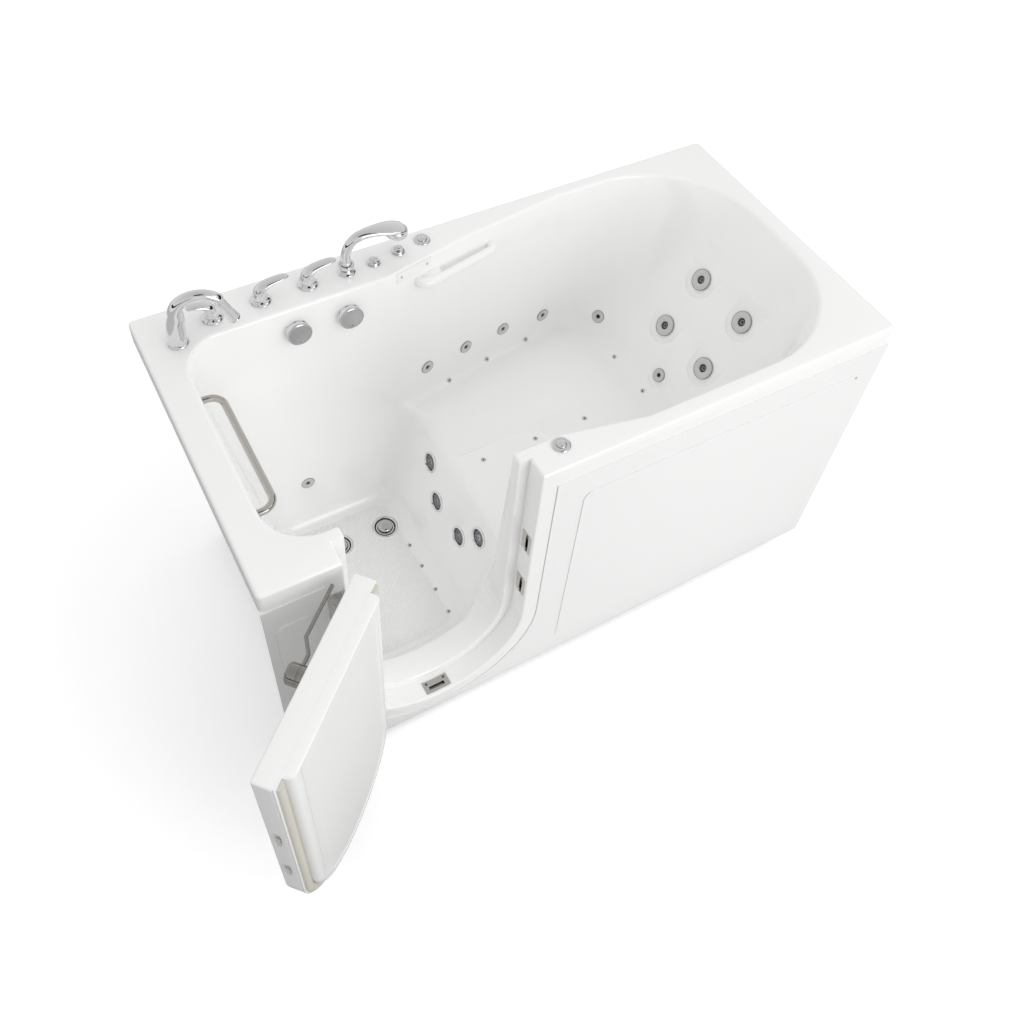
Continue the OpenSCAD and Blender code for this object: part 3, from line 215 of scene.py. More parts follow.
def loft(bm, loops, closed=True, cap=True):
    """Extrudes a first loop through further ones, which all have the same number of points."""
    row = [bm.verts.new(p) for p in loops[0]]
    edges = [bm.edges.new(pair) for pair in zip(row, row[1:] + row[:closed])]
    if cap:
        bm.faces.new(row)
    for loop in loops[1:]:
        grown = set(bmesh.ops.extrude_edge_only(bm, edges=edges)["geom"])
        row = [next(e.other_vert(v) for e in v.link_edges if e.other_vert(v) in grown) for v in row]
        for v, p in zip(row, loop):
            v.co = p
        edges = [bm.edges.get(pair) for pair in zip(row, row[1:] + row[:closed])]
    if cap:
        bm.faces.new(row)


def hull_loop(discs, grow, z, count=160):
    """The outline round a set of discs [x, y, radius], each grown, sampled by direction."""
    loop = []
    for i in range(count):
        a = 2 * math.pi * i / count
        x, y, r = max(discs, key=lambda d: d[0] * math.cos(a) + d[1] * math.sin(a) + d[2])
        loop.append((x + (r + grow) * math.cos(a), y + (r + grow) * math.sin(a), z))
    return loop


rim_height = 1000
door_x, arc_z = 454, 336    # the middle of the doorway, and of the round below it
well_height, seat_height = 76, 460
wall = 8
edge = 9                    # radius of the rolled edges
# How the floor curves up into a wall: [step inwards, step upwards]
cove = [(-44, 0), (-36, 0.4), (-28, 2.4), (-20.5, 7), (-14, 13.3), (-9, 20), (-4.6, 28.5), (-1.4, 38),
        (0, 48)]


def rounded(box, r):
    """Corner discs of a rectangle [left, front, right, back]."""
    left, front, right, back = box
    return [(x, y, r) for x in (left + r, right - r) for y in (front + r, back - r)]


def basin(foot, head, foot_z, grow, flare):
    """A basin's solid: its wall runs from the discs at its foot, 28 above the floor, to the rim."""
    top = rim_height + 1
    bm = bmesh.new()
    loops = []
    steps = [(d, foot_z + up) for d, up in cove]
    steps += [(0, foot_z + 48 + (top - edge - foot_z - 48) * t / 7) for t in range(1, 8)]
    if flare:
        steps += [(edge * (1 - math.cos(a)), rim_height - edge + edge * math.sin(a))
                  for a in (0.25, 0.5, 0.75, 1.0, 1.25, 1.45, math.pi / 2)]
        steps += [(edge, top + 6)]
    else:
        steps += [(0, rim_height - 2)]
    for d, z in steps:
        t = (z - foot_z - 28) / (top - foot_z - 28)
        discs = [[a + (b - a) * t for a, b in zip(p, q)] for p, q in zip(foot, head)]
        loops.append(hull_loop(discs, d + grow, z - grow * (d < -20 and not flare)))
    loft(bm, loops)
    return bm


well_foot, well_head = rounded((235, 150, 640, 735), 60), rounded((82, 95, 900, 772), 118)


def back_edge(x):
    return 775 + (x - 700) * 55 / 260 if x < 960 else 830 + (x - 960) * 44 / 330


def knots(front, back, inset, r=60):
    return [(x, y + inset + r, r) for x, y in front] + [(x, back_edge(x) - inset - r, r) for x in back]


neck_front, wide_front = [(700, 95), (1100, 95)], [(815, 95), (1050, 46)]
neck_foot, neck_head = (knots(neck_front, (700, 960, 1100), i) for i in (24, 0))
wide_foot = knots(wide_front, (815, 960, 1280), 24) + [(1280, y, 150) for y in (220, 700)]
wide_head = knots(wide_front, (815, 960, 1290), 0) + [(1442, y, 330) for y in (376, 544)]


def u_outline(r, y, grow, top=rim_height, flare=False, reach=None):
    """The doorway's shape as an open U at depth y, with its mouth rolled back at the deck."""
    r += grow
    arc = [(r * math.cos(a), arc_z + r * math.sin(a)) for a in (math.pi * (1 + i / 56) for i in range(57))]
    rise = [(0, arc_z + (top - edge - arc_z) * t / 6) for t in range(1, 7)]
    if flare:
        rise += [(edge * (1 - math.cos(a)), top - edge + edge * math.sin(a))
                 for a in (0.4, 0.8, 1.2, math.pi / 2)] + [(edge, top + 6)]
    else:
        rise += [(0, top)]
    side = [(-r - d, z) for d, z in rise[::-1]] + arc + [(r + d, z) for d, z in rise]
    return [(door_x + x, y if reach is None else reach(z) + y, z) for x, z in side]


def u_solid(r, levels, **kw):
    bm = bmesh.new()
    loft(bm, [u_outline(r, y, grow, **kw) for y, grow in levels])
    return bm


def combine(base, bm, way):
    """Cuts the form bm from base, or joins it on."""
    other = add_object("cutter", bm, None)
    tool = base.modifiers.new("tool", "BOOLEAN")
    tool.object, tool.operation, tool.solver = other, way, "EXACT"
    shaped = bpy.data.meshes.new_from_object(base.evaluated_get(bpy.context.evaluated_depsgraph_get()))
    base.modifiers.clear()
    base.data = shaped
    bpy.data.objects.remove(other)


def box_solid(low, high, r=0.001):
    bm = bmesh.new()
    discs = rounded((low[0], low[1], high[0], high[1]), r)
    loft(bm, [hull_loop(discs, 0, z, 48) for z in (low[2], high[2])])
    return bm


# The deck with its rolled outer edge and hanging lip, hollow from below
bm = bmesh.new()
deck = rounded((0, 0, 1829, 914.5), 14)
loft(bm, [hull_loop(deck, g, z, 96) for g, z in [(0, 936), (0, 991)] + [
    (-edge * (1 - math.cos(a)), 991 + edge * math.sin(a)) for a in (0.4, 0.8, 1.2, math.pi / 2)]])
tub = add_object("tub_shell_form", bm, acrylic)
basins = ((well_foot, well_head, well_height), (neck_foot, neck_head, seat_height),
          (wide_foot, wide_head, seat_height))
combine(tub, box_solid((wall, wall, 930), (1821, 906.5, 992), 6), "DIFFERENCE")
for foot, head, z in basins:
    combine(tub, basin(foot, head, z, wall, False), "UNION")
for r, front, back in ((302, 0, 8), (263, 0.2, 70), (242, 62.3, 215)):
    combine(tub, u_solid(r, [(front, 0), (back, 0)], top=993), "UNION")
for foot, head, z in basins:
    combine(tub, basin(foot, head, z, 0, True), "DIFFERENCE")
# The doorway is let in round the door, with a rolled edge
recess = [(-6, 5)] + [(5 * (1 - math.cos(a)), 5 * (1 - math.sin(a))) for a in (0, 0.4, 0.8, 1.2, 1.57)]
combine(tub, u_solid(255, recess + [(62, 0)], flare=True), "DIFFERENCE")


# The walls' straight parts: the height where each starts, 28 above its floor, and its rise
well_foot_z, well_rise = 104, 897
seat_foot_z, seat_rise = 488, 513


def well_front(z):
    return 150 - (z - well_foot_z) * 55 / well_rise


bm = bmesh.new()
start = [(61, 4), (62, 4), (64, 1.6), (67, 0)]
loops = [u_outline(224, y, g, flare=True) for y, g in start]
leave = [(-edge + edge * math.sin(a), edge * (1 - math.cos(a))) for a in (0, 0.4, 0.8, 1.2, 1.57)]
loops += [u_outline(224, y, g, flare=True, reach=well_front) for y, g in leave + [(50, edge)]]
loft(bm, loops)
combine(tub, bm, "DIFFERENCE")

# A filler under the seat's front edge, then the wide round-over between riser and seat, which
# narrows and climbs where the seat's floor curves up into the side walls
bm = bmesh.new()
loft(bm, [[(x, y, z) for x, z in ((731, 400), (800, 400), (800, 456), (747, 456))] for y in (150, 725)])
combine(tub, bm, "UNION")
bm = bmesh.new()
loops = []
ends = [133 + 78 * t * t for t in (0, 0.2, 0.35, 0.5, 0.65, 0.8, 0.9, 1)]
for y in ends + [300, 420, 560] + [878 - e for e in ends[::-1]]:
    inner = min(max(y, 211.2), 666.7)
    corner_x = 660.2 + math.sqrt(max(83 ** 2 - (y - inner) ** 2, 1))
    gap = min(y - 119, 754 - y)
    lift = next((b[1] + (a[1] - b[1]) * (-gap - b[0]) / (a[0] - b[0]) for a, b in zip(cove, cove[1:])
                 if a[0] <= -gap <= b[0]), 0)
    r = 8 + 40 * min(max((min(y - 133, 745 - y)) / 60, 0), 1)
    t = r / math.tan(math.radians(53.1))
    corner = Vector((corner_x, y, seat_height + lift))
    loop = [corner + Vector((-8, 0, 12)), corner + Vector((-8 - 0.29 * (t + 4), 0, -t - 4))]
    for i in range(13):
        a = math.radians(163.8 - 73.8 * i / 12)
        loop.append(corner + Vector((t + r * math.cos(a), 0, r * math.sin(a) - r + 0.02)))
    loops.append(loop + [corner + Vector((t, 0, 12))])
loft(bm, loops)
combine(tub, bm, "DIFFERENCE")
# The seat is pressed a little lower behind the line of its air jets
bm = bmesh.new()
pan = rounded((668, 497, 1290, 722), 60)
levels = ((-14, 454.4), (-9.5, 454.8), (-6, 455.7), (-3.2, 457.2), (-1.2, 459), (0, 460), (1, 461), (2, 480))
loft(bm, [[(x, y, z + 4.6 * (x - 700) / 590 + 5.4 * (y - 497) / 225) for x, y, z in hull_loop(pan, g, z, 96)]
          for g, z in levels])
combine(tub, bm, "DIFFERENCE")

# Small studs over the flat of the footwell's floor make it slip-proof
tread = material("studded_acrylic", (0.955, 0.955, 0.95), 0.22, coat=0.3, scale=2.5,
                 second=(0.94, 0.94, 0.935))
add = nodes_of(tread)
where = add("Mapping", Vector=add("TexCoord").outputs["Object"], Rotation=(0, 0, 0.7)).outputs[0]
studs = add("TexVoronoi", {"feature": "F1"}, Vector=where, Scale=118.0, Randomness=0.0)
stud = add("MapRange", {"interpolation_type": "SMOOTHSTEP"}, Value=studs.outputs["Distance"],
           _1=0.28, _2=0.5, _3=1.0, _4=0.0)
drift = add("TexNoise", Vector=where, Scale=6.0)
tint = add("Mix", {"data_type": "RGBA"}, _0=drift.outputs["Fac"], _6=(0.965, 0.965, 0.96, 1),
           _7=(0.945, 0.945, 0.94, 1))
relief = add("Bump", Height=stud.outputs[0], Strength=0.9, Distance=0.0012)
skin = add("BsdfPrincipled", Base_Color=tint.outputs[2], Roughness=0.22, Coat_Weight=0.3,
           Normal=relief.outputs[0])
add("OutputMaterial", Surface=skin.outputs[0])
tub.data.materials.append(tread)
for flat in tub.data.polygons:
    spot = flat.center * 1000
    if flat.normal.z > 0.99 and 75 < spot.z < 77 and flat.area > 0.0002:
        flat.material_index = 1
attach(tub, "tub")
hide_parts("tub_shell")

# ---------- wall grip ----------
# A bar moulded with the back wall, with room for the fingers behind it. A long boss carries its
# left end and a short one its right end.
up = (0, 0, 1)


def revolve(bm, origin, axis, profile, sides=48):
    """Spins a profile of [radius, height] about an axis; a radius of 0 closes an end."""
    before = set(bm.verts)
    line = [bm.verts.new((r, 0, h)) for r, h in profile]
    line += [bm.edges.new(pair) for pair in zip(line, line[1:])]
    bmesh.ops.spin(bm, geom=line, axis=up, angle=2 * math.pi, steps=sides, use_merge=True)
    added = [v for v in bm.verts if v not in before]
    bmesh.ops.remove_doubles(bm, verts=added, dist=0.001)
    turn = Vector(up).rotation_difference(Vector(axis)).to_matrix().to_4x4()
    bmesh.ops.transform(bm, matrix=Matrix.Translation(origin) @ turn, verts=[v for v in added if v.is_valid])


def smooth_path(points, steps=10):
    """A Catmull-Rom curve through the points."""
    p = [Vector(q) for q in points]
    p = [2 * p[0] - p[1]] + p + [2 * p[-1] - p[-2]]
    path = []
    for a, b, c, d in zip(p, p[1:], p[2:], p[3:]):
        for i in range(steps):
            t = i / steps
            path.append(0.5 * (2 * b + (c - a) * t + (2 * a - 5 * b + 4 * c - d) * t * t
                               + (3 * b - a - 3 * c + d) * t ** 3))
    return path + [p[-2]]


def sweep(bm, path, sizes, sides=28, side=(0, 0, 1), power=2.0, cap=True):
    """Carries a rounded section along a path. Each size is half its width, or [half width across
    side, half height along side]; power above 2 squares the section."""
    path = [Vector(p) for p in path]
    across = None
    loops = []
    for i, p in enumerate(path):
        along = (path[min(i + 1, len(path) - 1)] - path[max(i - 1, 0)]).normalized()
        if across is None:
            across = along.cross(Vector(side)).normalized()
        across = (across - along * across.dot(along)).normalized()
        other = across.cross(along)
        t = i / (len(path) - 1) * (len(sizes) - 1)
        k = min(int(t), len(sizes) - 2)
        a, b = (s if isinstance(s, (tuple, list)) else (s, s) for s in (sizes[k], sizes[k + 1]))
        w, h = (a[j] + (b[j] - a[j]) * (t - k) for j in (0, 1))
        ring = []
        for n in range(sides):
            c, s = math.cos(2 * math.pi * n / sides), math.sin(2 * math.pi * n / sides)
            c, s = (math.copysign(abs(v) ** (2 / power), v) for v in (c, s))
            ring.append(p + across * c * w + other * s * h)
        loops.append(ring)
    loft(bm, loops, cap=cap)


def on_wall(x, z):
    """The frame of the back wall beside the seat: origin, run, normal into the basin, up."""
    slope = 55 / 260 if x < 960 else 44 / 330
    lean = math.atan2(24, seat_rise)
    run = Vector((1, slope, 0)).normalized()
    normal = Vector((run.y * math.cos(lean), -run.x * math.cos(lean), math.sin(lean)))
    origin = Vector((x, back_edge(x) - (1001 - z) * 24 / seat_rise, z))
    return origin, run, normal, normal.cross(run) * -1


def fit(name, bm, finish, body, slot, *nodes, smooth_angle=35):
    """Finishes a piece: its object, the body it moves with and the solids it stands for. Its slot is not
    used.
    """
    made = add_object(name, bm, finish, smooth_angle)
    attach(made, body)
    if nodes:
        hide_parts(*nodes)


origin, run, normal, rise = on_wall(905, 935)
bm = bmesh.new()
stations = [(-133, -6, 13), (-131, 12, 15), (-124, 21, 15.5), (-108, 26, 15), (-88, 28, 13.5),
            (-66, 29, 12.5), (-30, 29, 12), (10, 29, 12), (50, 29, 12), (90, 29, 12), (110, 28, 12),
            (120, 24, 12), (126, 14, 12), (128, -8, 13)]
path = smooth_path([origin + run * s + normal * h for s, h, r in stations], 6)
sweep(bm, path, [(r * 0.96, r) for s, h, r in stations], sides=32, side=rise, power=2.3)
boss = [origin + run * -88 + normal * h for h in (-6, 6, 16, 26)]
sweep(bm, boss, [(38, 16), (32, 13.5), (28, 12), (25, 11)], sides=32, side=rise, power=3.0)
fit("wall_grip_form", bm, acrylic, "tub", "acrylic", "wall_grip")

# ---------- door ----------
# Two acrylic mouldings glued back to back: a slab whose free edge is let in round the bolts, and
# a plug that fills the doorway. A bulb gasket of beige rubber runs round the plug. It stands open.
hinge = Vector((205, -15, 0))
opened = Matrix.Rotation(math.radians(-138), 4, "Z")
swing = Matrix.Translation(hinge) @ opened @ Matrix.Translation(-hinge)


def door_loop(r, y, grow, top=994, corner=6, share=1.0):
    """The door's outline at depth y: round below, with small corners at its top. The top takes
    only its share of the growth, so it stays flat where the mouldings meet."""
    r += grow
    top += grow * share
    corner = max(corner + grow, 0.6)
    loop = [(door_x + r * math.cos(a), y, arc_z + r * math.sin(a)) for a in
            (math.pi * (1 + i / 64) for i in range(65))]
    loop += [(door_x + r, y, arc_z + (top - corner - arc_z) * t / 5) for t in range(1, 5)]
    loop += [(door_x + r - corner + corner * math.cos(a), y, top - corner + corner * math.sin(a))
             for a in (math.pi / 2 * i / 5 for i in range(6))]
    loop += [(door_x + (r - corner) * (1 - t / 4), y, top) for t in range(1, 8)]
    loop += [(door_x - r + corner + corner * math.cos(a), y, top - corner + corner * math.sin(a))
             for a in (math.pi / 2 * (1 + i / 5) for i in range(6))]
    loop += [(door_x - r, y, arc_z + (top - corner - arc_z) * t / 5) for t in range(4, 0, -1)]
    return loop


def door_piece(name, bm, finish, body, slot, *nodes):
    """A piece drawn with the door shut, swung to where it stands open."""
    bmesh.ops.transform(bm, matrix=swing, verts=bm.verts)
    fit(name, bm, finish, body, slot, *nodes)


def roll(r, low, high):
    """Levels [depth, growth] of a slab with edges rolled to radius r."""
    turn = [(r * (1 - math.sin(a)), -r * (1 - math.cos(a))) for a in (0, 0.35, 0.7, 1.0, 1.3, math.pi / 2)]
    return [(low + d, g) for d, g in turn[::-1]] + [(high - d, g) for d, g in turn]


bm = bmesh.new()
loft(bm, [door_loop(245, y, g, share=1.0 if y < 24 else 0.0) for y, g in roll(5, 0, 48)])
slab = add_object("door_outer_form", bm, acrylic)
# The free edge is let in behind a border, with a raised seat round each of the two bolts
bolt_heights = (468, 678)
combine(slab, box_solid((697.5, 9, 345), (705, 60, 978)), "DIFFERENCE")
for z in bolt_heights:
    bm = bmesh.new()
    sweep(bm, [(x, 20, z) for x in (696, 698.6, 699)], [(46, 15.6), (44, 14.6), (42, 13.6)],
          sides=40, side=(0, 1, 0), power=3.0)
    combine(slab, bm, "UNION")
    combine(slab, box_solid((690, 21.4, z - 23.6), (705, 30.6, z + 23.6), 0.4), "DIFFERENCE")
combine(slab, box_solid((430.4, 21.4, 80), (477.6, 30.6, 106), 0.4), "DIFFERENCE")
slab.data.transform(to_row @ swing @ to_row.inverted())
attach(slab, "door")
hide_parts("door_outer_shell")

bm = bmesh.new()
loft(bm, [door_loop(245, y, g, share=0.0) for y, g in roll(1.9, 48.1, 52)])
plug = [(51.9, 0), (62, 0), (66, -0.6), (70, -2.6), (73, -5.6), (75.4, -9.6), (76.6, -14), (77, -19),
        (77, -27), (76.6, -30), (75.4, -33), (75, -36), (75, -60)]
loft(bm, [door_loop(214, y, g, 994, 9, 0.1) for y, g in plug])
door_piece("door_inner_form", bm, acrylic, "door", "acrylic", "door_inner_panel")

gasket_rubber = material("gasket_rubber", (0.70, 0.675, 0.61), 0.55, scale=30, spread=0.1,
                         second=(0.64, 0.615, 0.55), bump=0.25, bump_scale=900)
bulb = [(-12.3, 0.2), (-12.4, 2.2), (-11.2, 4.6), (-8.6, 7.0), (-5, 8.8), (0, 9.4), (5, 8.8), (8.6, 7.0),
        (11.2, 4.6), (12.3, 2.2), (12.3, 0.2)]
seal = 226.9    # the gasket's middle line, as a radius of the round
spine = [(-seal, 985, -1, 0)] + [(-seal, arc_z + 640 * (8 - i) / 8, -1, 0) for i in range(8)]
spine += [(seal * math.cos(a), arc_z + seal * math.sin(a), math.cos(a), math.sin(a)) for a in
          (math.pi * (1 + i / 60) for i in range(61))]
spine += [(seal, arc_z + 640 * i / 8, 1, 0) for i in range(1, 9)] + [(seal, 985, 1, 0)]
bm = bmesh.new()
loft(bm, [[(door_x + x + nx * s, 52 + h, z + nz * s) for s, h in bulb] for x, z, nx, nz in spine])
for x in (-seal, seal):
    revolve(bm, (door_x + x, 56.4, 985), up, [(0, 0.05), (2.6, 0.05), (3.2, 0.3), (3.6, 0.05)], 20)
door_piece("gasket_form", bm, gasket_rubber, "door", "gasket", "door_gasket")

steel = material("brushed_steel", (0.66, 0.65, 0.63), 0.26, metal=1.0, scale=40, spread=0.07,
                 bump=0.12, bump_scale=700, stretch=(1, 1, 0.05), anisotropic=0.4)
chrome = material("chrome", (0.80, 0.80, 0.81), 0.05, metal=1.0, scale=20, spread=0.015,
                  second=(0.77, 0.775, 0.785))


def dress(finish, *names):
    """Gives solids that keep their own shape a finish."""
    for name in names:
        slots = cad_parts[name].data.materials
        slots.clear()
        slots.append(finish)


dress(steel, "fixed_hinge_leaves", "door_hinge_leaves", "hinge_pins", "flange_hinge_screws",
      "door_hinge_screws", "upper_side_bolt", "lower_side_bolt", "bottom_bolt", "latch_cam", "bolt_guides")

# The latch: a round hub with a groove and a cap, and a rod that steps away from the door's face
bm = bmesh.new()
hub = [(0, 0.4), (23.4, 0.4), (25, 2), (25, 15), (24, 15.8), (24, 18.2), (25, 19), (25, 36), (24.4, 39.5),
       (22.5, 42.4), (19.6, 44.3), (16, 45), (12, 44.4), (10.5, 43.6), (0, 43.2)]
revolve(bm, (door_x, 0, 951), (0, -1, 0), hub, 64)
rod = [(432, -21, 951), (410, -21, 951), (404, -21.4, 951), (398, -23.6, 951), (372, -40.6, 951),
       (366, -43, 951), (358, -43.5, 951), (242, -43.5, 951), (239, -43.5, 951)]
path = smooth_path(rod, 8)
sweep(bm, path, [4.5] * 60 + [4.3, 3.6, 2.2])
# The latch's steel is painted much darker than the other steel. This is painted shade for the open door's
# shadow, which the latch sits in and which darkens its reflections.
painted_shade_latch_metal = material("latch_steel_painted_shade", (0.33, 0.32, 0.30), 0.07, metal=1.0, scale=25, spread=0.02)
door_piece("latch_form", bm, painted_shade_latch_metal, "latch", "steel", "latch_handle")

# ---------- aprons, frame and strikes ----------
# The apron and its access panels are thin acrylic sheet screwed on under the rim. The frame is
# welded square stainless tube on levelling feet. Strike plates on the jamb and sill take the bolts.
sheet = material("acrylic_sheet", (0.945, 0.945, 0.94), 0.10, coat=0.6, scale=1.8, spread=0.04,
                 second=(0.93, 0.932, 0.925), bump=0.18, bump_scale=3.5, stretch=(1, 1, 0.5))
dress(sheet, "front_apron", "front_access_panel", "left_access_panel")
frame_steel = material("frame_steel", (0.58, 0.58, 0.57), 0.38, metal=1.0, scale=15, spread=0.1,
                       bump=0.2, bump_scale=300)
dress(frame_steel, "base_frame", "panel_screws", "inline_heater")
foot_plastic = material("foot_plastic", (0.05, 0.05, 0.055), 0.5, scale=30, bump=0.3, bump_scale=600)
dress(foot_plastic, "levelling_feet", "centre_foot")

# Each strike: a plate with rolled edges and a slot for the bolt. Its two screws have round
# heads, which are a piece of their own.
bm, heads = bmesh.new(), bmesh.new()
corners = ((-1, -1), (1, -1), (1, 1), (-1, 1))
for z in bolt_heights:
    steps = ((709, 30, 20, 39), (708.4, 30, 19.8, 39), (707.6, 30, 19.6, 39), (707.6, 26, 6, 25),
             (709.5, 26, 6, 25))
    loft(bm, [[(x, y + a * wide, z + b * tall) for a, b in corners]
              for x, y, wide, tall in steps], cap=False)
    for side in (-1, 1):
        head = [(0, -0.4), (4.4, -0.2), (4.6, 0.6), (3.6, 1.5), (2.2, 1.9), (2.0, 1.2), (0, 1.0)]
        revolve(heads, (707.6, 26, z + side * 32), (-1, 0, 0), head, 24)
sill = []
for y, lift in ((10, 0.3), (10.4, 1.4), (19.6, 1.4), (32.4, 1.4), (50, 1.4), (50.4, 0.3)):
    sill.append([(door_x + s * 255, y, arc_z - math.sqrt((255 - lift) ** 2 - (s * 255) ** 2)) for s in
                 [k / 20 * 0.155 for k in range(-20, 21)]])
loft(bm, sill, closed=False, cap=False)
slot = [f for f in bm.faces if abs(f.calc_center_median().x - door_x) < 26
        and 20 < f.calc_center_median().y < 32]
bmesh.ops.delete(bm, geom=slot, context="FACES")
for x in (426, 482):
    head = [(0, -0.4), (4.6, -0.2), (4.8, 0.6), (3.8, 1.5), (2.2, 1.8), (2, 1.1), (0, 1)]
    revolve(heads, (x, 41, 83.7), ((door_x - x) / 255, 0, 1), head, 24)
strike_metal = material("strike_metal", (0.60, 0.58, 0.545), 0.3, metal=1.0, scale=40, spread=0.08,
                        bump=0.15, bump_scale=500)
fit("strike_form", bm, strike_metal, "tub", "steel", "strike_plates")

# Behind each slot is a dark metal box that the bolt enters. Each is drawn from a place, its long
# way, the way inwards, and how deep it starts.
bm = bmesh.new()
boxes = [((0, 0, z), up, (1, 0, 0), 709.8) for z in bolt_heights]
boxes.append(((door_x, 0, 0), (1, 0, 0), (0, 0, -1), -79.5))
for base, tall, inward, start in boxes:
    base, wide, tall, inward = (Vector(v) for v in (base, (0, 1, 0), tall, inward))
    loft(bm, [[base + wide * (26 + a * (6 + g)) + tall * b * (25 + g) + inward * (start + d)
               for a, b in corners] for g, d in ((0, 20), (0, 0), (1.2, 0), (1.2, 21.5))])
recess_dark = material("strike_recess", (0.14, 0.13, 0.115), 0.35, metal=0.5, scale=60)
fit("strike_recesses", bm, recess_dark, "tub", "steel")
screw_steel = material("dull_steel", (0.20, 0.195, 0.185), 0.32, metal=1.0, scale=60)
dress(screw_steel, "strike_screws")
fit("strike_screw_heads", heads, screw_steel, "tub", "steel")

# The pump, the blower, the aerator and the nozzles have their own dark colour. In the drains' throats the
# same dark is painted shade.
dark = material("dark_plastic", (0.035, 0.035, 0.038), 0.42, scale=25, bump=0.3, bump_scale=500)
pipe = material("pipe_plastic", (0.82, 0.82, 0.80), 0.34, scale=12, bump=0.1, bump_scale=120)
dress(pipe, "waste_pipe", "water_manifold", "air_manifold", "equipment_tray")
dress(dark, "water_pump", "air_blower")

# ---------- drains and overflows ----------
# Two floor drains: a wide chrome flange with a domed silver stopper. Each overflow in the back
# wall is a chrome drum with a turning disc, which has a fine arc on its face and a pointer.
drain_places = ((560, 606), (400, 606))
bm = bmesh.new()
for x, y in drain_places:
    flange = [(25.6, 30), (25.6, 60), (31, 70.6), (34, 74), (36, 75.4), (38.4, 75.8), (40.6, 75.2),
              (41.8, 74), (42, 73), (30, 72), (26, 60), (26, 30), (25.6, 30)]
    revolve(bm, (x, y, 0), up, flange[::-1], 56)
    for i in range(3):
        a = math.pi * i / 3
        ray = Vector((math.cos(a), math.sin(a), 0))
        sweep(bm, [Vector((x, y, 56)) + ray * t for t in (-25.6, 25.6)], [1.6, 3], 10)
fit("drain_form", bm, chrome, "tub", "chrome", "drain_bodies")
# A dark funnel inside each drain: painted shade, for the dark deep down in the drain hole.
bm = bmesh.new()
for x, y in drain_places:
    funnel = [(0, 34), (25.4, 34), (25.4, 60), (30.6, 71.2), (34.4, 74.6), (33.6, 75), (29, 71.6),
              (24.6, 60.6), (24.6, 36), (0, 36)]
    revolve(bm, (x, y, 0), up, funnel, 56)
fit("drain_throats_painted_shade", bm, dark, "tub", "dark_plastic")
satin = material("satin_chrome", (0.55, 0.55, 0.56), 0.16, metal=1.0, scale=30, spread=0.04)
for name, (x, y) in zip(("right_stopper", "left_stopper"), drain_places):
    low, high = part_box(name)
    bm = bmesh.new()
    top = high.z * 1000
    dome = [(0, top), (6, top - 0.2), (12, top - 0.9), (17, top - 2.1), (20.4, top - 3.8),
            (22.6, top - 5.8), (24.2, top - 8.2), (25, top - 10.6), (25, top - 12), (24.2, top - 12.8),
            (6, top - 12.8), (5, top - 15), (5, low.z * 1000 + 1), (0, low.z * 1000 + 0.4)]
    revolve(bm, (x, y, 0), up, dome[::-1], 56)
    fit(name + "_form", bm, satin, name, "chrome", name)

well_lean = math.atan2(37, well_rise)
out = Vector((0, -math.cos(well_lean), math.sin(well_lean)))


def well_back(x, z):
    return Vector((x, 735 + (z - well_foot_z) * 37 / well_rise, z))


overflow_places = ((401, 924), (552, 919))
bm = bmesh.new()
for x, z in overflow_places:
    back = [(0, -26), (19.4, -26), (19.4, -1), (31.4, -0.6), (32.4, 0.6), (32.4, 2.6), (31.2, 4), (30.6, 6),
            (30.4, 15.6), (29.4, 17), (0, 17.4)]
    revolve(bm, well_back(x, z), out, back, 56)
fit("overflow_form", bm, chrome, "tub", "chrome", "overflow_bodies")
for name, (x, z) in zip(("left_overflow_knob", "right_overflow_knob"), overflow_places):
    bm = bmesh.new()
    disc = [(0, 18), (33.6, 18), (35.3, 19.4), (35.5, 21), (34.8, 23.4), (32.6, 24.4), (31.4, 24.0),
            (29, 24.1), (14, 24.9), (0, 25)]
    revolve(bm, well_back(x, z), out, disc, 72)
    middle = well_back(x, z) + out * 24.6
    tip = Vector((0, math.sin(well_lean), math.cos(well_lean)))
    across = tip.cross(out)
    arc = [middle + (tip * math.cos(a) * 62 + across * (math.sin(a) * 62 - 60)) + out * 0.1
           for a in (math.pi / 2 + 0.42 * (k / 10 - 1) for k in range(21))]
    sweep(bm, arc, [0.5, 0.7, 0.5], 10, side=out)
    pointer = middle - tip * 27
    revolve(bm, pointer, out, [(0, 1.4), (1.8, 1.1), (2.4, 0.2), (2.4, -0.6)][::-1], 20)
    fit(name + "_form", bm, satin, name, "chrome", name)

# ---------- jets and grilles ----------
# Water jets: a pale speckled face ring with a dark rim round a throat that holds a smaller ring.
# Air jets are small rings with one hole. Footwell grilles are chrome rings round a wire mesh.
riser_lean, rest_lean = math.atan2(260, well_rise), math.atan2(342, seat_rise)
side_lean = math.atan2(24, seat_rise)


def facing(turn, lean):
    turn = math.radians(turn)
    return Vector((math.cos(turn) * math.cos(lean), math.sin(turn) * math.cos(lean), math.sin(lean)))


def in_riser(y, z):
    return Vector((640 + (z - well_foot_z) * 260 / well_rise, y, z)), facing(180, riser_lean)


def in_backrest(y, z):
    return Vector((1430 + (z - seat_foot_z) * 342 / seat_rise, y, z)), facing(180, rest_lean)


def back_turn(x):
    return -90 + math.degrees(math.atan(55 / 260 if x < 960 else 44 / 330))


def in_back(x, z):
    return Vector((x, back_edge(x) - (1001 - z) * 24 / seat_rise, z)), facing(back_turn(x), side_lean)


def in_corner(angle, z):
    t, a = (z - seat_foot_z) / seat_rise, math.radians(angle)
    foot, head = Vector((1280, 700)), Vector((1442, 544))
    away = Vector((math.cos(a), math.sin(a)))
    spot = foot.lerp(head, t) + (150 + 180 * t) * away
    lean = math.atan2((head - foot).dot(away) + 180, seat_rise)
    return Vector((spot.x, spot.y, z)), facing(180 + angle, lean)


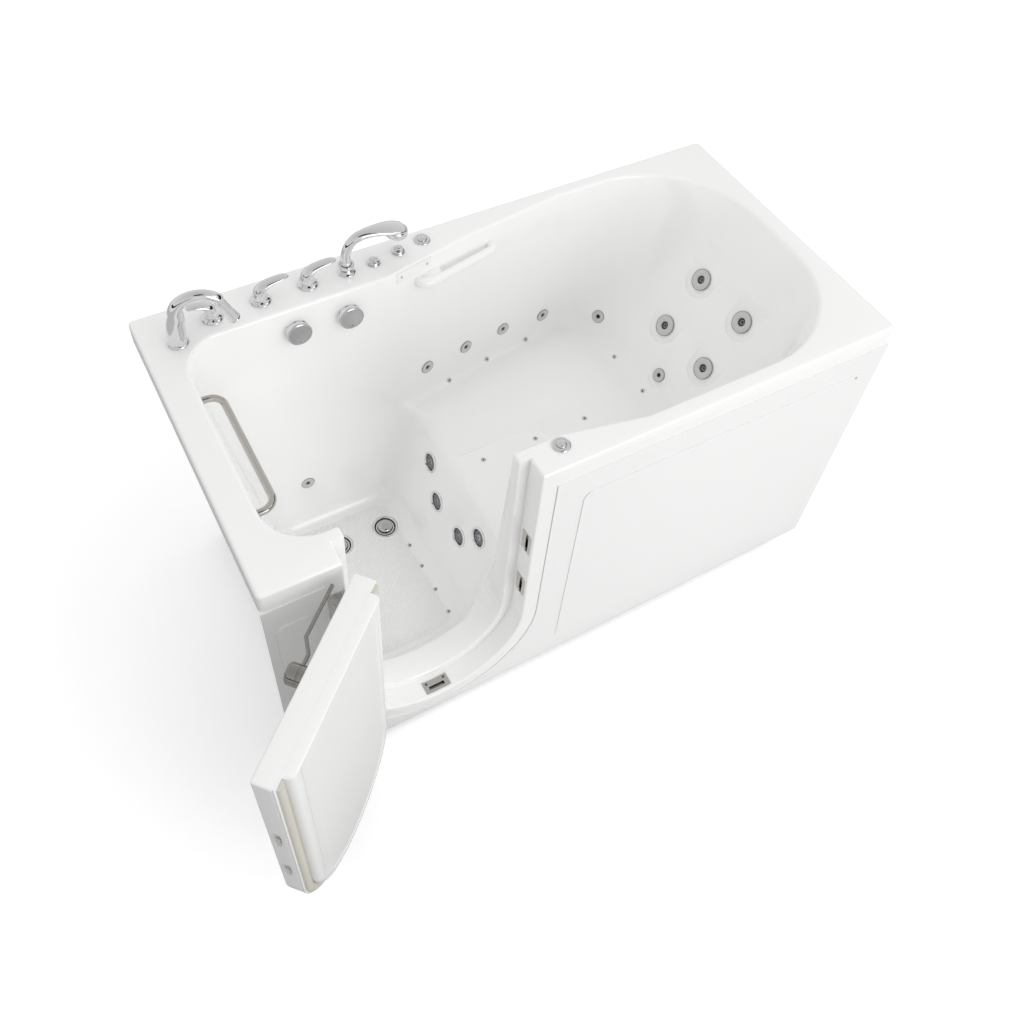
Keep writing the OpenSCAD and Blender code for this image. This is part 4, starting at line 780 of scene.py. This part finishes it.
large = [in_backrest(450 + s * 102, z) for s in (-1, 1) for z in (635, 789)]
small = [in_back(x, z) for x, z in ((800, 572), (952, 562), (1098, 559), (1263, 531))]
small += [in_corner(29, 522), in_backrest(454, 531), (well_back(363, 276), facing(-90, well_lean))]
grilles = [in_riser(y, z) for y, z in ((271, 361), (585, 361), (347, 280), (493, 280))]
tiny = [(Vector((x, back_edge(x) - 38, 474)), facing(back_turn(x), math.pi / 4)) for x in (877, 1029, 1188)]
tiny += [(Vector((1410, y, 475.5)), facing(180, math.pi / 4)) for y in (458, 623)]
tiny += [(Vector((x, 455, 460)), Vector((0, 0, 1))) for x in (827, 1010, 1190)]
tiny += [(Vector((601, y, 76)), Vector((0, 0, 1))) for y in (230, 319, 415, 503)]

# The shell is dished below each backrest jet, deepest under it and running out upwards
dishes = [(j, 58, 72 if j == large[1] else 100, 6.6) for j in large] + [(small[5], 42, 66, 4.8)]
for (place, normal), r, reach, deep in dishes:
    side = Vector((0, 1, 0))
    rise = side.cross(normal)
    bm = bmesh.new()
    loops = []
    levels = ((0, 15), (0.4, 11.2), (1.2, 7.6), (2.4, 4.4), (4, 1.9), (5.6, 0.5), (7.2, 0), (16, -2))
    for lift, inset in levels:
        loop = [(math.cos(a), math.sin(a)) for a in (math.pi * (1 + i / 40) for i in range(41))]
        loop = [(c * (r - inset), s * (r - inset)) for c, s in loop]
        loop += [(r - inset + 14 * t, reach * t) for t in (0.34, 0.67, 1)]
        loop += [(-(r - inset + 14 * t), reach * t) for t in (1, 0.67, 0.34)]
        loops.append([place + side * s + rise * t + normal * (lift - deep * (reach - t) / (reach + r))
                      for s, t in loop])
    loft(bm, loops)
    combine(tub, bm, "DIFFERENCE")
# Holes through the shell for the fittings, then room for the boxes behind the strikes' slots
bm = bmesh.new()
holes = [(j, 25, 46) for j in large] + [(j, 16, 46) for j in small] + [(j, 27, 46) for j in grilles]
for (place, normal), r, depth in holes + [(j, 5.5, 24) for j in tiny]:
    revolve(bm, place, normal, [(0, -depth), (r, -depth), (r, 12), (0, 12)], 40)
for x, y in drain_places:
    revolve(bm, (x, y, 0), up, [(0, 60), (26, 60), (26, 72), (41.6, 72.4), (43, 80), (0, 80)], 56)
button_places = ((827, 870), (796, 63))
for x, y in button_places:
    revolve(bm, (x, y, 0), up, [(0, 940), (14.6, 940), (14.6, 1010), (0, 1010)], 40)
combine(tub, bm, "DIFFERENCE")
for low, high in (((700, 20, 443), (730, 32, 493)), ((700, 20, 653), (730, 32, 703)),
                  ((429, 20, 60), (479, 32, 92))):
    combine(tub, box_solid(low, high), "DIFFERENCE")
tub.data.shade_smooth()
tub.data.set_sharp_from_angle(angle=math.radians(32))

jet_face = material("jet_face", (0.72, 0.72, 0.71), 0.30, metal=0.2, scale=420, spread=0.12,
                    second=(0.50, 0.50, 0.495), bump=0.35, bump_scale=520)
jet_rim = material("jet_rim", (0.34, 0.345, 0.35), 0.25, metal=0.3, scale=60)


def rings(name, finish, places, profile, slot, *nodes, sides=48):
    """The same spun part at every place of a list."""
    bm = bmesh.new()
    for place, normal in places:
        revolve(bm, place, normal, profile, sides)
    fit(name, bm, finish, "tub", slot, *nodes)


def closed(*profile):
    """Joins a profile's end to its start, for a ring of material."""
    return list(profile) + [profile[0]]


rings("large_jet_faces", jet_face, large, closed((24.8, -44), (24.8, -8), (32.6, -8), (32.8, 1.2), (31, 2.6),
      (24, 3.4), (16, 3.0), (13.4, 2.0), (12.6, 0), (12.6, -42)), "jet_grey", "large_jets")
rings("large_jet_rims", jet_rim, large, closed((33.2, -8), (34, -7), (34, 1.4), (33.2, 2.4), (32.2, 2.2),
                                               (32, -7)), "jet_grey")
rings("large_jet_throats", dark, large, closed((12.5, -40), (12.5, -1.5), (10.6, -2.6), (9.8, -6),
                                               (9.8, -38)), "dark_plastic")
rings("large_jet_nozzles", jet_rim, large, closed((8.8, -30), (8.8, -6), (7.6, -2.4), (5.8, -2.2), (4.6, -4),
      (4.2, -30)), "jet_grey", sides=36)
rings("large_jet_wells", dark, large, [(0, -28), (9.7, -28), (9.7, -31), (0, -31)], "dark_plastic")
rings("small_jet_faces", jet_face, small, closed((15.8, -44), (15.8, -5), (20.6, -5), (21, 0.8), (19.6, 2.2),
      (14, 2.9), (9, 2.4), (7.4, 1.2), (7, -1), (7, -42)), "jet_grey", "small_jets")
rings("small_jet_rims", jet_rim, small, closed((21.2, -5), (22, -4), (22, 0.9), (21.3, 1.9), (20.4, 1.6),
                                               (20.3, -4)), "jet_grey")
rings("small_jet_throats", dark, small, [(0, -12), (3.6, -12), (3.8, -3), (6.9, -2), (6.9, -14),
                                         (0, -14)], "dark_plastic")
rings("air_jet_rings", jet_face, tiny, closed((5.2, -21), (5.2, -0.6), (8, -0.6), (8.3, 0.8), (7.3, 1.7),
      (4, 1.9), (3, 1.2), (2.8, -20)), "jet_grey", "air_jets", sides=32)
rings("air_jet_holes", dark, tiny, [(0, -1.5), (2.9, -1.5), (2.9, -19), (0, -19)], "dark_plastic", sides=20)

rings("grille_rings", chrome, grilles, closed((26.6, -44), (26.6, -2), (33, -2), (34, 0), (33.6, 2.2),
                                              (31.6, 4), (29.4, 4.4), (27.4, 3.4), (26.2, 1), (25.6, -3),
                                              (25.4, -43)), "chrome", "footwell_grilles", sides=56)
bm = bmesh.new()
back = bmesh.new()
for number, (place, normal) in enumerate(grilles):
    side = Vector((0, 1, 0))
    rise = side.cross(normal)
    revolve(back, place, normal, [(0, -9), (25.4, -9), (25.4, -12), (0, -12)], 40)
    for ring in (10.5, 15.5, 20.5):
        turn = [place + normal * -2.4 + (side * math.cos(a) + rise * math.sin(a)) * ring
                for a in (2 * math.pi * i / 36 for i in range(37))]
        sweep(bm, turn, [1.0, 1.0], 8, side=normal, cap=False)
    for i in range(12):
        a = 2 * math.pi * (i + 0.25 * (number % 2)) / 12
        ray = side * math.cos(a) + rise * math.sin(a)
        sweep(bm, [place + normal * -2.8 + ray * s for s in (6, 25.8)], [0.9, 0.9], 8, side=normal)
    cap = 9.5 if number == 0 else 6.5
    revolve(bm, place, normal, [(0, -5), (cap, -5), (cap, -1.4), (cap - 1.4, -0.6), (3.2, -0.2),
                                (2.6, -2.4), (0, -2.6)], 32)
grille_metal = material("grille_metal", (0.42, 0.42, 0.43), 0.2, metal=1.0, scale=80)
fit("grille_wires", bm, grille_metal, "tub", "chrome")
fit("grille_backs", back, dark, "tub", "dark_plastic")
dress(jet_face, "plate_screws")

# ---------- deck fittings ----------
# Heavy chrome plate over brass: a swan-neck spout with an oval tube, three levers shaped like
# paddles on domed bases, two star-topped air knobs, two push caps, and a plain plate.


def turned(at, degrees):
    return Matrix.Translation((at[0], at[1], 1000)) @ Matrix.Rotation(math.radians(degrees), 4, "Z")


def plated(name, bm, body, *nodes, place=None, finish=chrome, slot="chrome"):
    """A piece of the deck's metalwork, turned and set at its place."""
    if place:
        bmesh.ops.transform(bm, matrix=place, verts=bm.verts)
    fit(name, bm, finish, body, slot, *nodes, smooth_angle=40)


bm = bmesh.new()
foot = [(0, -44), (14, -44), (14, -8.2), (27, -8.2), (27, 0.2), (28, 1.4), (28, 4.6), (27, 6.8), (24.4, 8.8),
        (22.6, 10), (0, 10)]
revolve(bm, (0, 0, 0), up, foot, 56)
plated("spout_foot_form", bm, "tub", "spout_base", place=turned((93, 784), 0))
bm = bmesh.new()
collar = [(0, 10.4), (21, 10.4), (22, 11.6), (22, 15.5), (20.8, 17.6), (17.8, 19), (0, 19)]
revolve(bm, (0, 0, 0), up, collar, 56)
arch = [(0, 12), (0, 22), (1, 38), (4, 64), (9.5, 90)]
arch += [(70 - 60.5 * math.cos(a), 98 + 53.5 * math.sin(a))
         for a in (math.radians(16 + 25 * i) for i in range(6))]
arch += [(120.4, 119), (133, 90), (148, 58)]
arch = smooth_path([(x, 0, z) for x, z in arch], 8)
girth = [(25.4, 25.4), (25, 25), (24.6, 24.6), (23.4, 23.6), (21, 21.6), (18.2, 19.2), (15.4, 17),
         (13.2, 15.4), (12.4, 14.6), (12.4, 14.6), (12.8, 15), (13.4, 15.4), (14.6, 16), (16, 16.6)]
sweep(bm, arch, girth, 48, side=(0, 1, 0), power=2.12)
fall = (arch[-1] - arch[-3]).normalized()
sweep(bm, [arch[-1] + fall * s for s in (-2, 0, 0.8, 2.4, 3)], [(16, 16.6), (16.6, 17), (16.8, 17.2),
        (16.4, 16.8), (14.8, 15.2)], 48, side=(0, 1, 0), power=2.3)
spout_place = turned((93, 784), -13)
plated("spout_form", bm, "spout", "spout", place=spout_place)
bm = bmesh.new()
sweep(bm, [arch[-1] + fall * s for s in (0, 3.2, 4)], [(12.4, 12.8), (12.4, 12.8), (11.4, 11.8)], 36,
      side=(0, 1, 0))
plated("spout_aerator", bm, "spout", place=spout_place, finish=dark, slot="dark_plastic")

valve_places = ((199, 831), (334, 837), (469, 841))
bm = bmesh.new()
for x, y in valve_places:
    base = [(0, -44), (14, -44), (14, -8.2), (28, -8.2), (28, 0.1), (29, 0.8), (29, 2.8), (28.4, 4),
            (27.6, 4.2), (26.6, 5.6), (23.4, 8.8), (20.4, 10.8), (19.4, 12), (0, 12)]
    revolve(bm, (x, y, 1000), up, base, 56)
plated("valve_form", bm, "tub", "valve_bodies")
levers = (("left_lever", 180, 62), ("middle_lever", 0, 84), ("right_lever", 0, 86))
for at, (name, turn, reach) in zip(valve_places, levers):
    bm = bmesh.new()
    dome = [(0, 12.4), (19.4, 12.4), (20, 14), (19.8, 17), (18.8, 22), (17, 27), (14.6, 32), (12, 36.4),
            (8, 39.8), (0, 41)]
    revolve(bm, (0, 0, 0), up, dome, 56)
    bend = [(-2, 20), (2, 33), (9, 43), (20, 50), (34, 54.6), (50, 57.6), (66, 58.8), (77, 58.4),
            (83, 57.6), (85.6, 57.2)]
    path = smooth_path([(x * reach / 86, 0, z) for x, z in bend], 8)
    sweep(bm, path, [(18, 19.4), (15.6, 19), (12, 17.8), (9, 16.2), (7, 15), (5.6, 14), (4.6, 12.8),
                     (3.8, 10.4), (2.6, 6.2), (1.2, 2)], 40, side=(0, 1, 0), power=2.2)
    plated(name + "_form", bm, name, name, place=turned(at, turn))

shower_place = turned((583, 842), 0)
bm = bmesh.new()
cup = [(0, -44), (17.6, -44), (17.6, -8.2), (24, -8.2), (24, 0.1), (25, 0.9), (25, 2.6), (24, 4),
       (20.4, 5.4), (18.6, 7), (18, 9.4), (18.6, 13), (21.4, 19), (23, 24), (23.2, 27), (22.2, 29.2),
       (20, 30), (16.6, 30), (15.6, 28.4), (15, 24), (0, 24)]
revolve(bm, (0, 0, 0), up, cup, 56)
plated("shower_cup_form", bm, "tub", "shower_holder", place=shower_place)
bm = bmesh.new()
stem = [(0, 24.4), (14, 24.4), (14, 30.6), (15.4, 31.4), (15.4, 36), (14, 38), (13.4, 42), (12.6, 44),
        (12.6, 47), (13, 48)]
revolve(bm, (0, 0, 0), up, stem + [(0, 49)])
neck = [(0, 44), (1, 62), (7, 80), (18, 95.6), (34, 107), (55, 112), (78, 112.8), (104, 110.4),
        (130, 105.4), (152, 99.6), (170, 94.6), (182, 91)]
path = smooth_path([(x, 0, z) for x, z in neck], 8)
sweep(bm, path, [(13, 13), (12.6, 12.6), (12.6, 12.8), (12.4, 13.2), (12, 14.4), (11.4, 16.4), (11, 19.6),
                 (11, 24), (11, 28.4), (10, 29.2), (8, 25), (2, 8)], 44, side=(0, 1, 0), power=2.1)
before = set(bm.verts)
rose = [(0, -12), (22, -12), (25.6, -11.4), (28, -8.4), (29.2, -3), (29.4, 2), (28.4, 7), (25, 11), (0, 12)]
revolve(bm, (0, 0, 0), up, rose, 60)
for i in range(36):
    a = 2 * math.pi * i / 36
    revolve(bm, (26.6 * math.cos(a), 26.6 * math.sin(a), -9.6), (math.cos(a), math.sin(a), -0.7),
            [(0, -1), (1.7, -1), (1.7, 0.8), (1.1, 1.9), (0, 2.1)], 8)
added = [v for v in bm.verts if v not in before]
face = Matrix.Translation((152, 0, 86)) @ Matrix.Rotation(math.radians(13), 4, "Y")
face @= Matrix.Diagonal((1.1, 1, 1, 1))
bmesh.ops.transform(bm, matrix=face, verts=added)
plated("hand_shower_form", bm, "hand_shower", "hand_shower", place=shower_place)
bm = bmesh.new()
revolve(bm, (0, 0, 0), up, [(0, -14), (20.6, -14), (21.4, -13.2), (21.4, -11), (0, -11)])
nozzle = [(0, -15.6), (1, -15.6), (1.4, -13.5), (0, -13.5)]
for count, r in ((1, 0), (6, 6), (12, 12), (18, 18)):
    for i in range(count):
        a = 2 * math.pi * i / count
        revolve(bm, (r * math.cos(a), r * math.sin(a), 0), up, nozzle, 8)
plated("shower_nozzles", bm, "hand_shower", place=shower_place @ face, finish=dark, slot="dark_plastic")

bm = bmesh.new()
knob_places = ((664, 842), (745, 855))
for x, y in knob_places:
    ring = [(0, -44), (10, -44), (10, -8.2), (19, -8.2), (19, 0.1), (20, 0.8), (20, 2.4), (19, 3.8),
            (17, 4), (0, 4)]
    revolve(bm, (x, y, 1000), up, ring)
plated("knob_ring_form", bm, "tub", "knob_bodies")
for name, at in zip(("left_air_knob", "right_air_knob"), knob_places):
    bm = bmesh.new()
    dome = [(0, 4.4), (17.4, 4.4), (18, 5.4), (17.6, 7.4), (16, 9.6), (13.4, 11.2), (9, 12.2), (0, 12.4)]
    revolve(bm, (0, 0, 0), up, dome)
    star = [(8.6 + 3.6 * max(0, math.cos(2.5 * a)) ** 2, a)
            for a in (2 * math.pi * i / 80 for i in range(80))]
    layers = ((11.5, 1), (15.6, 1), (17.4, 0.93), (18.5, 0.8), (19, 0.6), (19, 0.3))
    loft(bm, [[(s * r * math.cos(a), s * r * math.sin(a), z) for r, a in star] for z, s in layers])
    plated(name + "_form", bm, name, name, place=turned(at, 0))

bm = bmesh.new()
for x, y in button_places:
    ring = [(0, -44), (14.8, -44), (14.8, -8.2), (23, -8.2), (23, 0.1), (24, 0.9), (24, 2.2), (22.4, 4.2),
            (19, 5), (15, 5), (13.6, 4.2), (13.4, 1), (13.4, -7), (0, -7)]
    revolve(bm, (x, y, 1000), up, ring, 56)
plated("button_ring_form", bm, "tub", "button_bodies")
for name, at in zip(("back_button", "front_button"), button_places):
    bm = bmesh.new()
    cap = [(0, 1.4), (12.9, 1.4), (12.9, 5), (12.4, 6.4), (10.8, 7.6), (8, 8.5), (4, 8.9), (0, 9)]
    revolve(bm, (0, 0, 0), up, cap)
    plated(name + "_form", bm, name, name, place=turned(at, 0))
dress(sheet, "blank_plate")

# ---------- grab bar ----------
# Polished steel tube on the left wall, bent square at both ends, with a flange round each leg. The
# legs go through the wall, and a collar behind it holds each.
nickel = material("polished_steel", (0.58, 0.56, 0.52), 0.09, metal=1.0, scale=30, spread=0.03,
                  bump=0.03, bump_scale=600, stretch=(1, 0.05, 1))
bm = bmesh.new()
quarter = [math.pi / 2 * i / 10 for i in range(11)]
bar = [(84, 235), (100, 235)] + [(100 + 35 * math.sin(a), 270 - 35 * math.cos(a)) for a in quarter]
bar += [(135, 270 + 308 * i / 6) for i in range(1, 6)]
bar += [(135 - 35 * (1 - math.cos(a)), 578 + 35 * math.sin(a)) for a in quarter] + [(84, 613)]
sweep(bm, [(x, y, 956) for x, y in bar], [9.5, 9.5], 40)
for y in (235, 613):
    revolve(bm, (87.4, y, 956), (1, 0, 0.17), [(9.4, -2), (13.4, -2), (13.6, 1), (12.6, 2.4), (10.6, 3),
                                               (9.4, 3.4)], 40)
plated("grab_bar_form", bm, "tub", "grab_bar", finish=nickel, slot="steel")
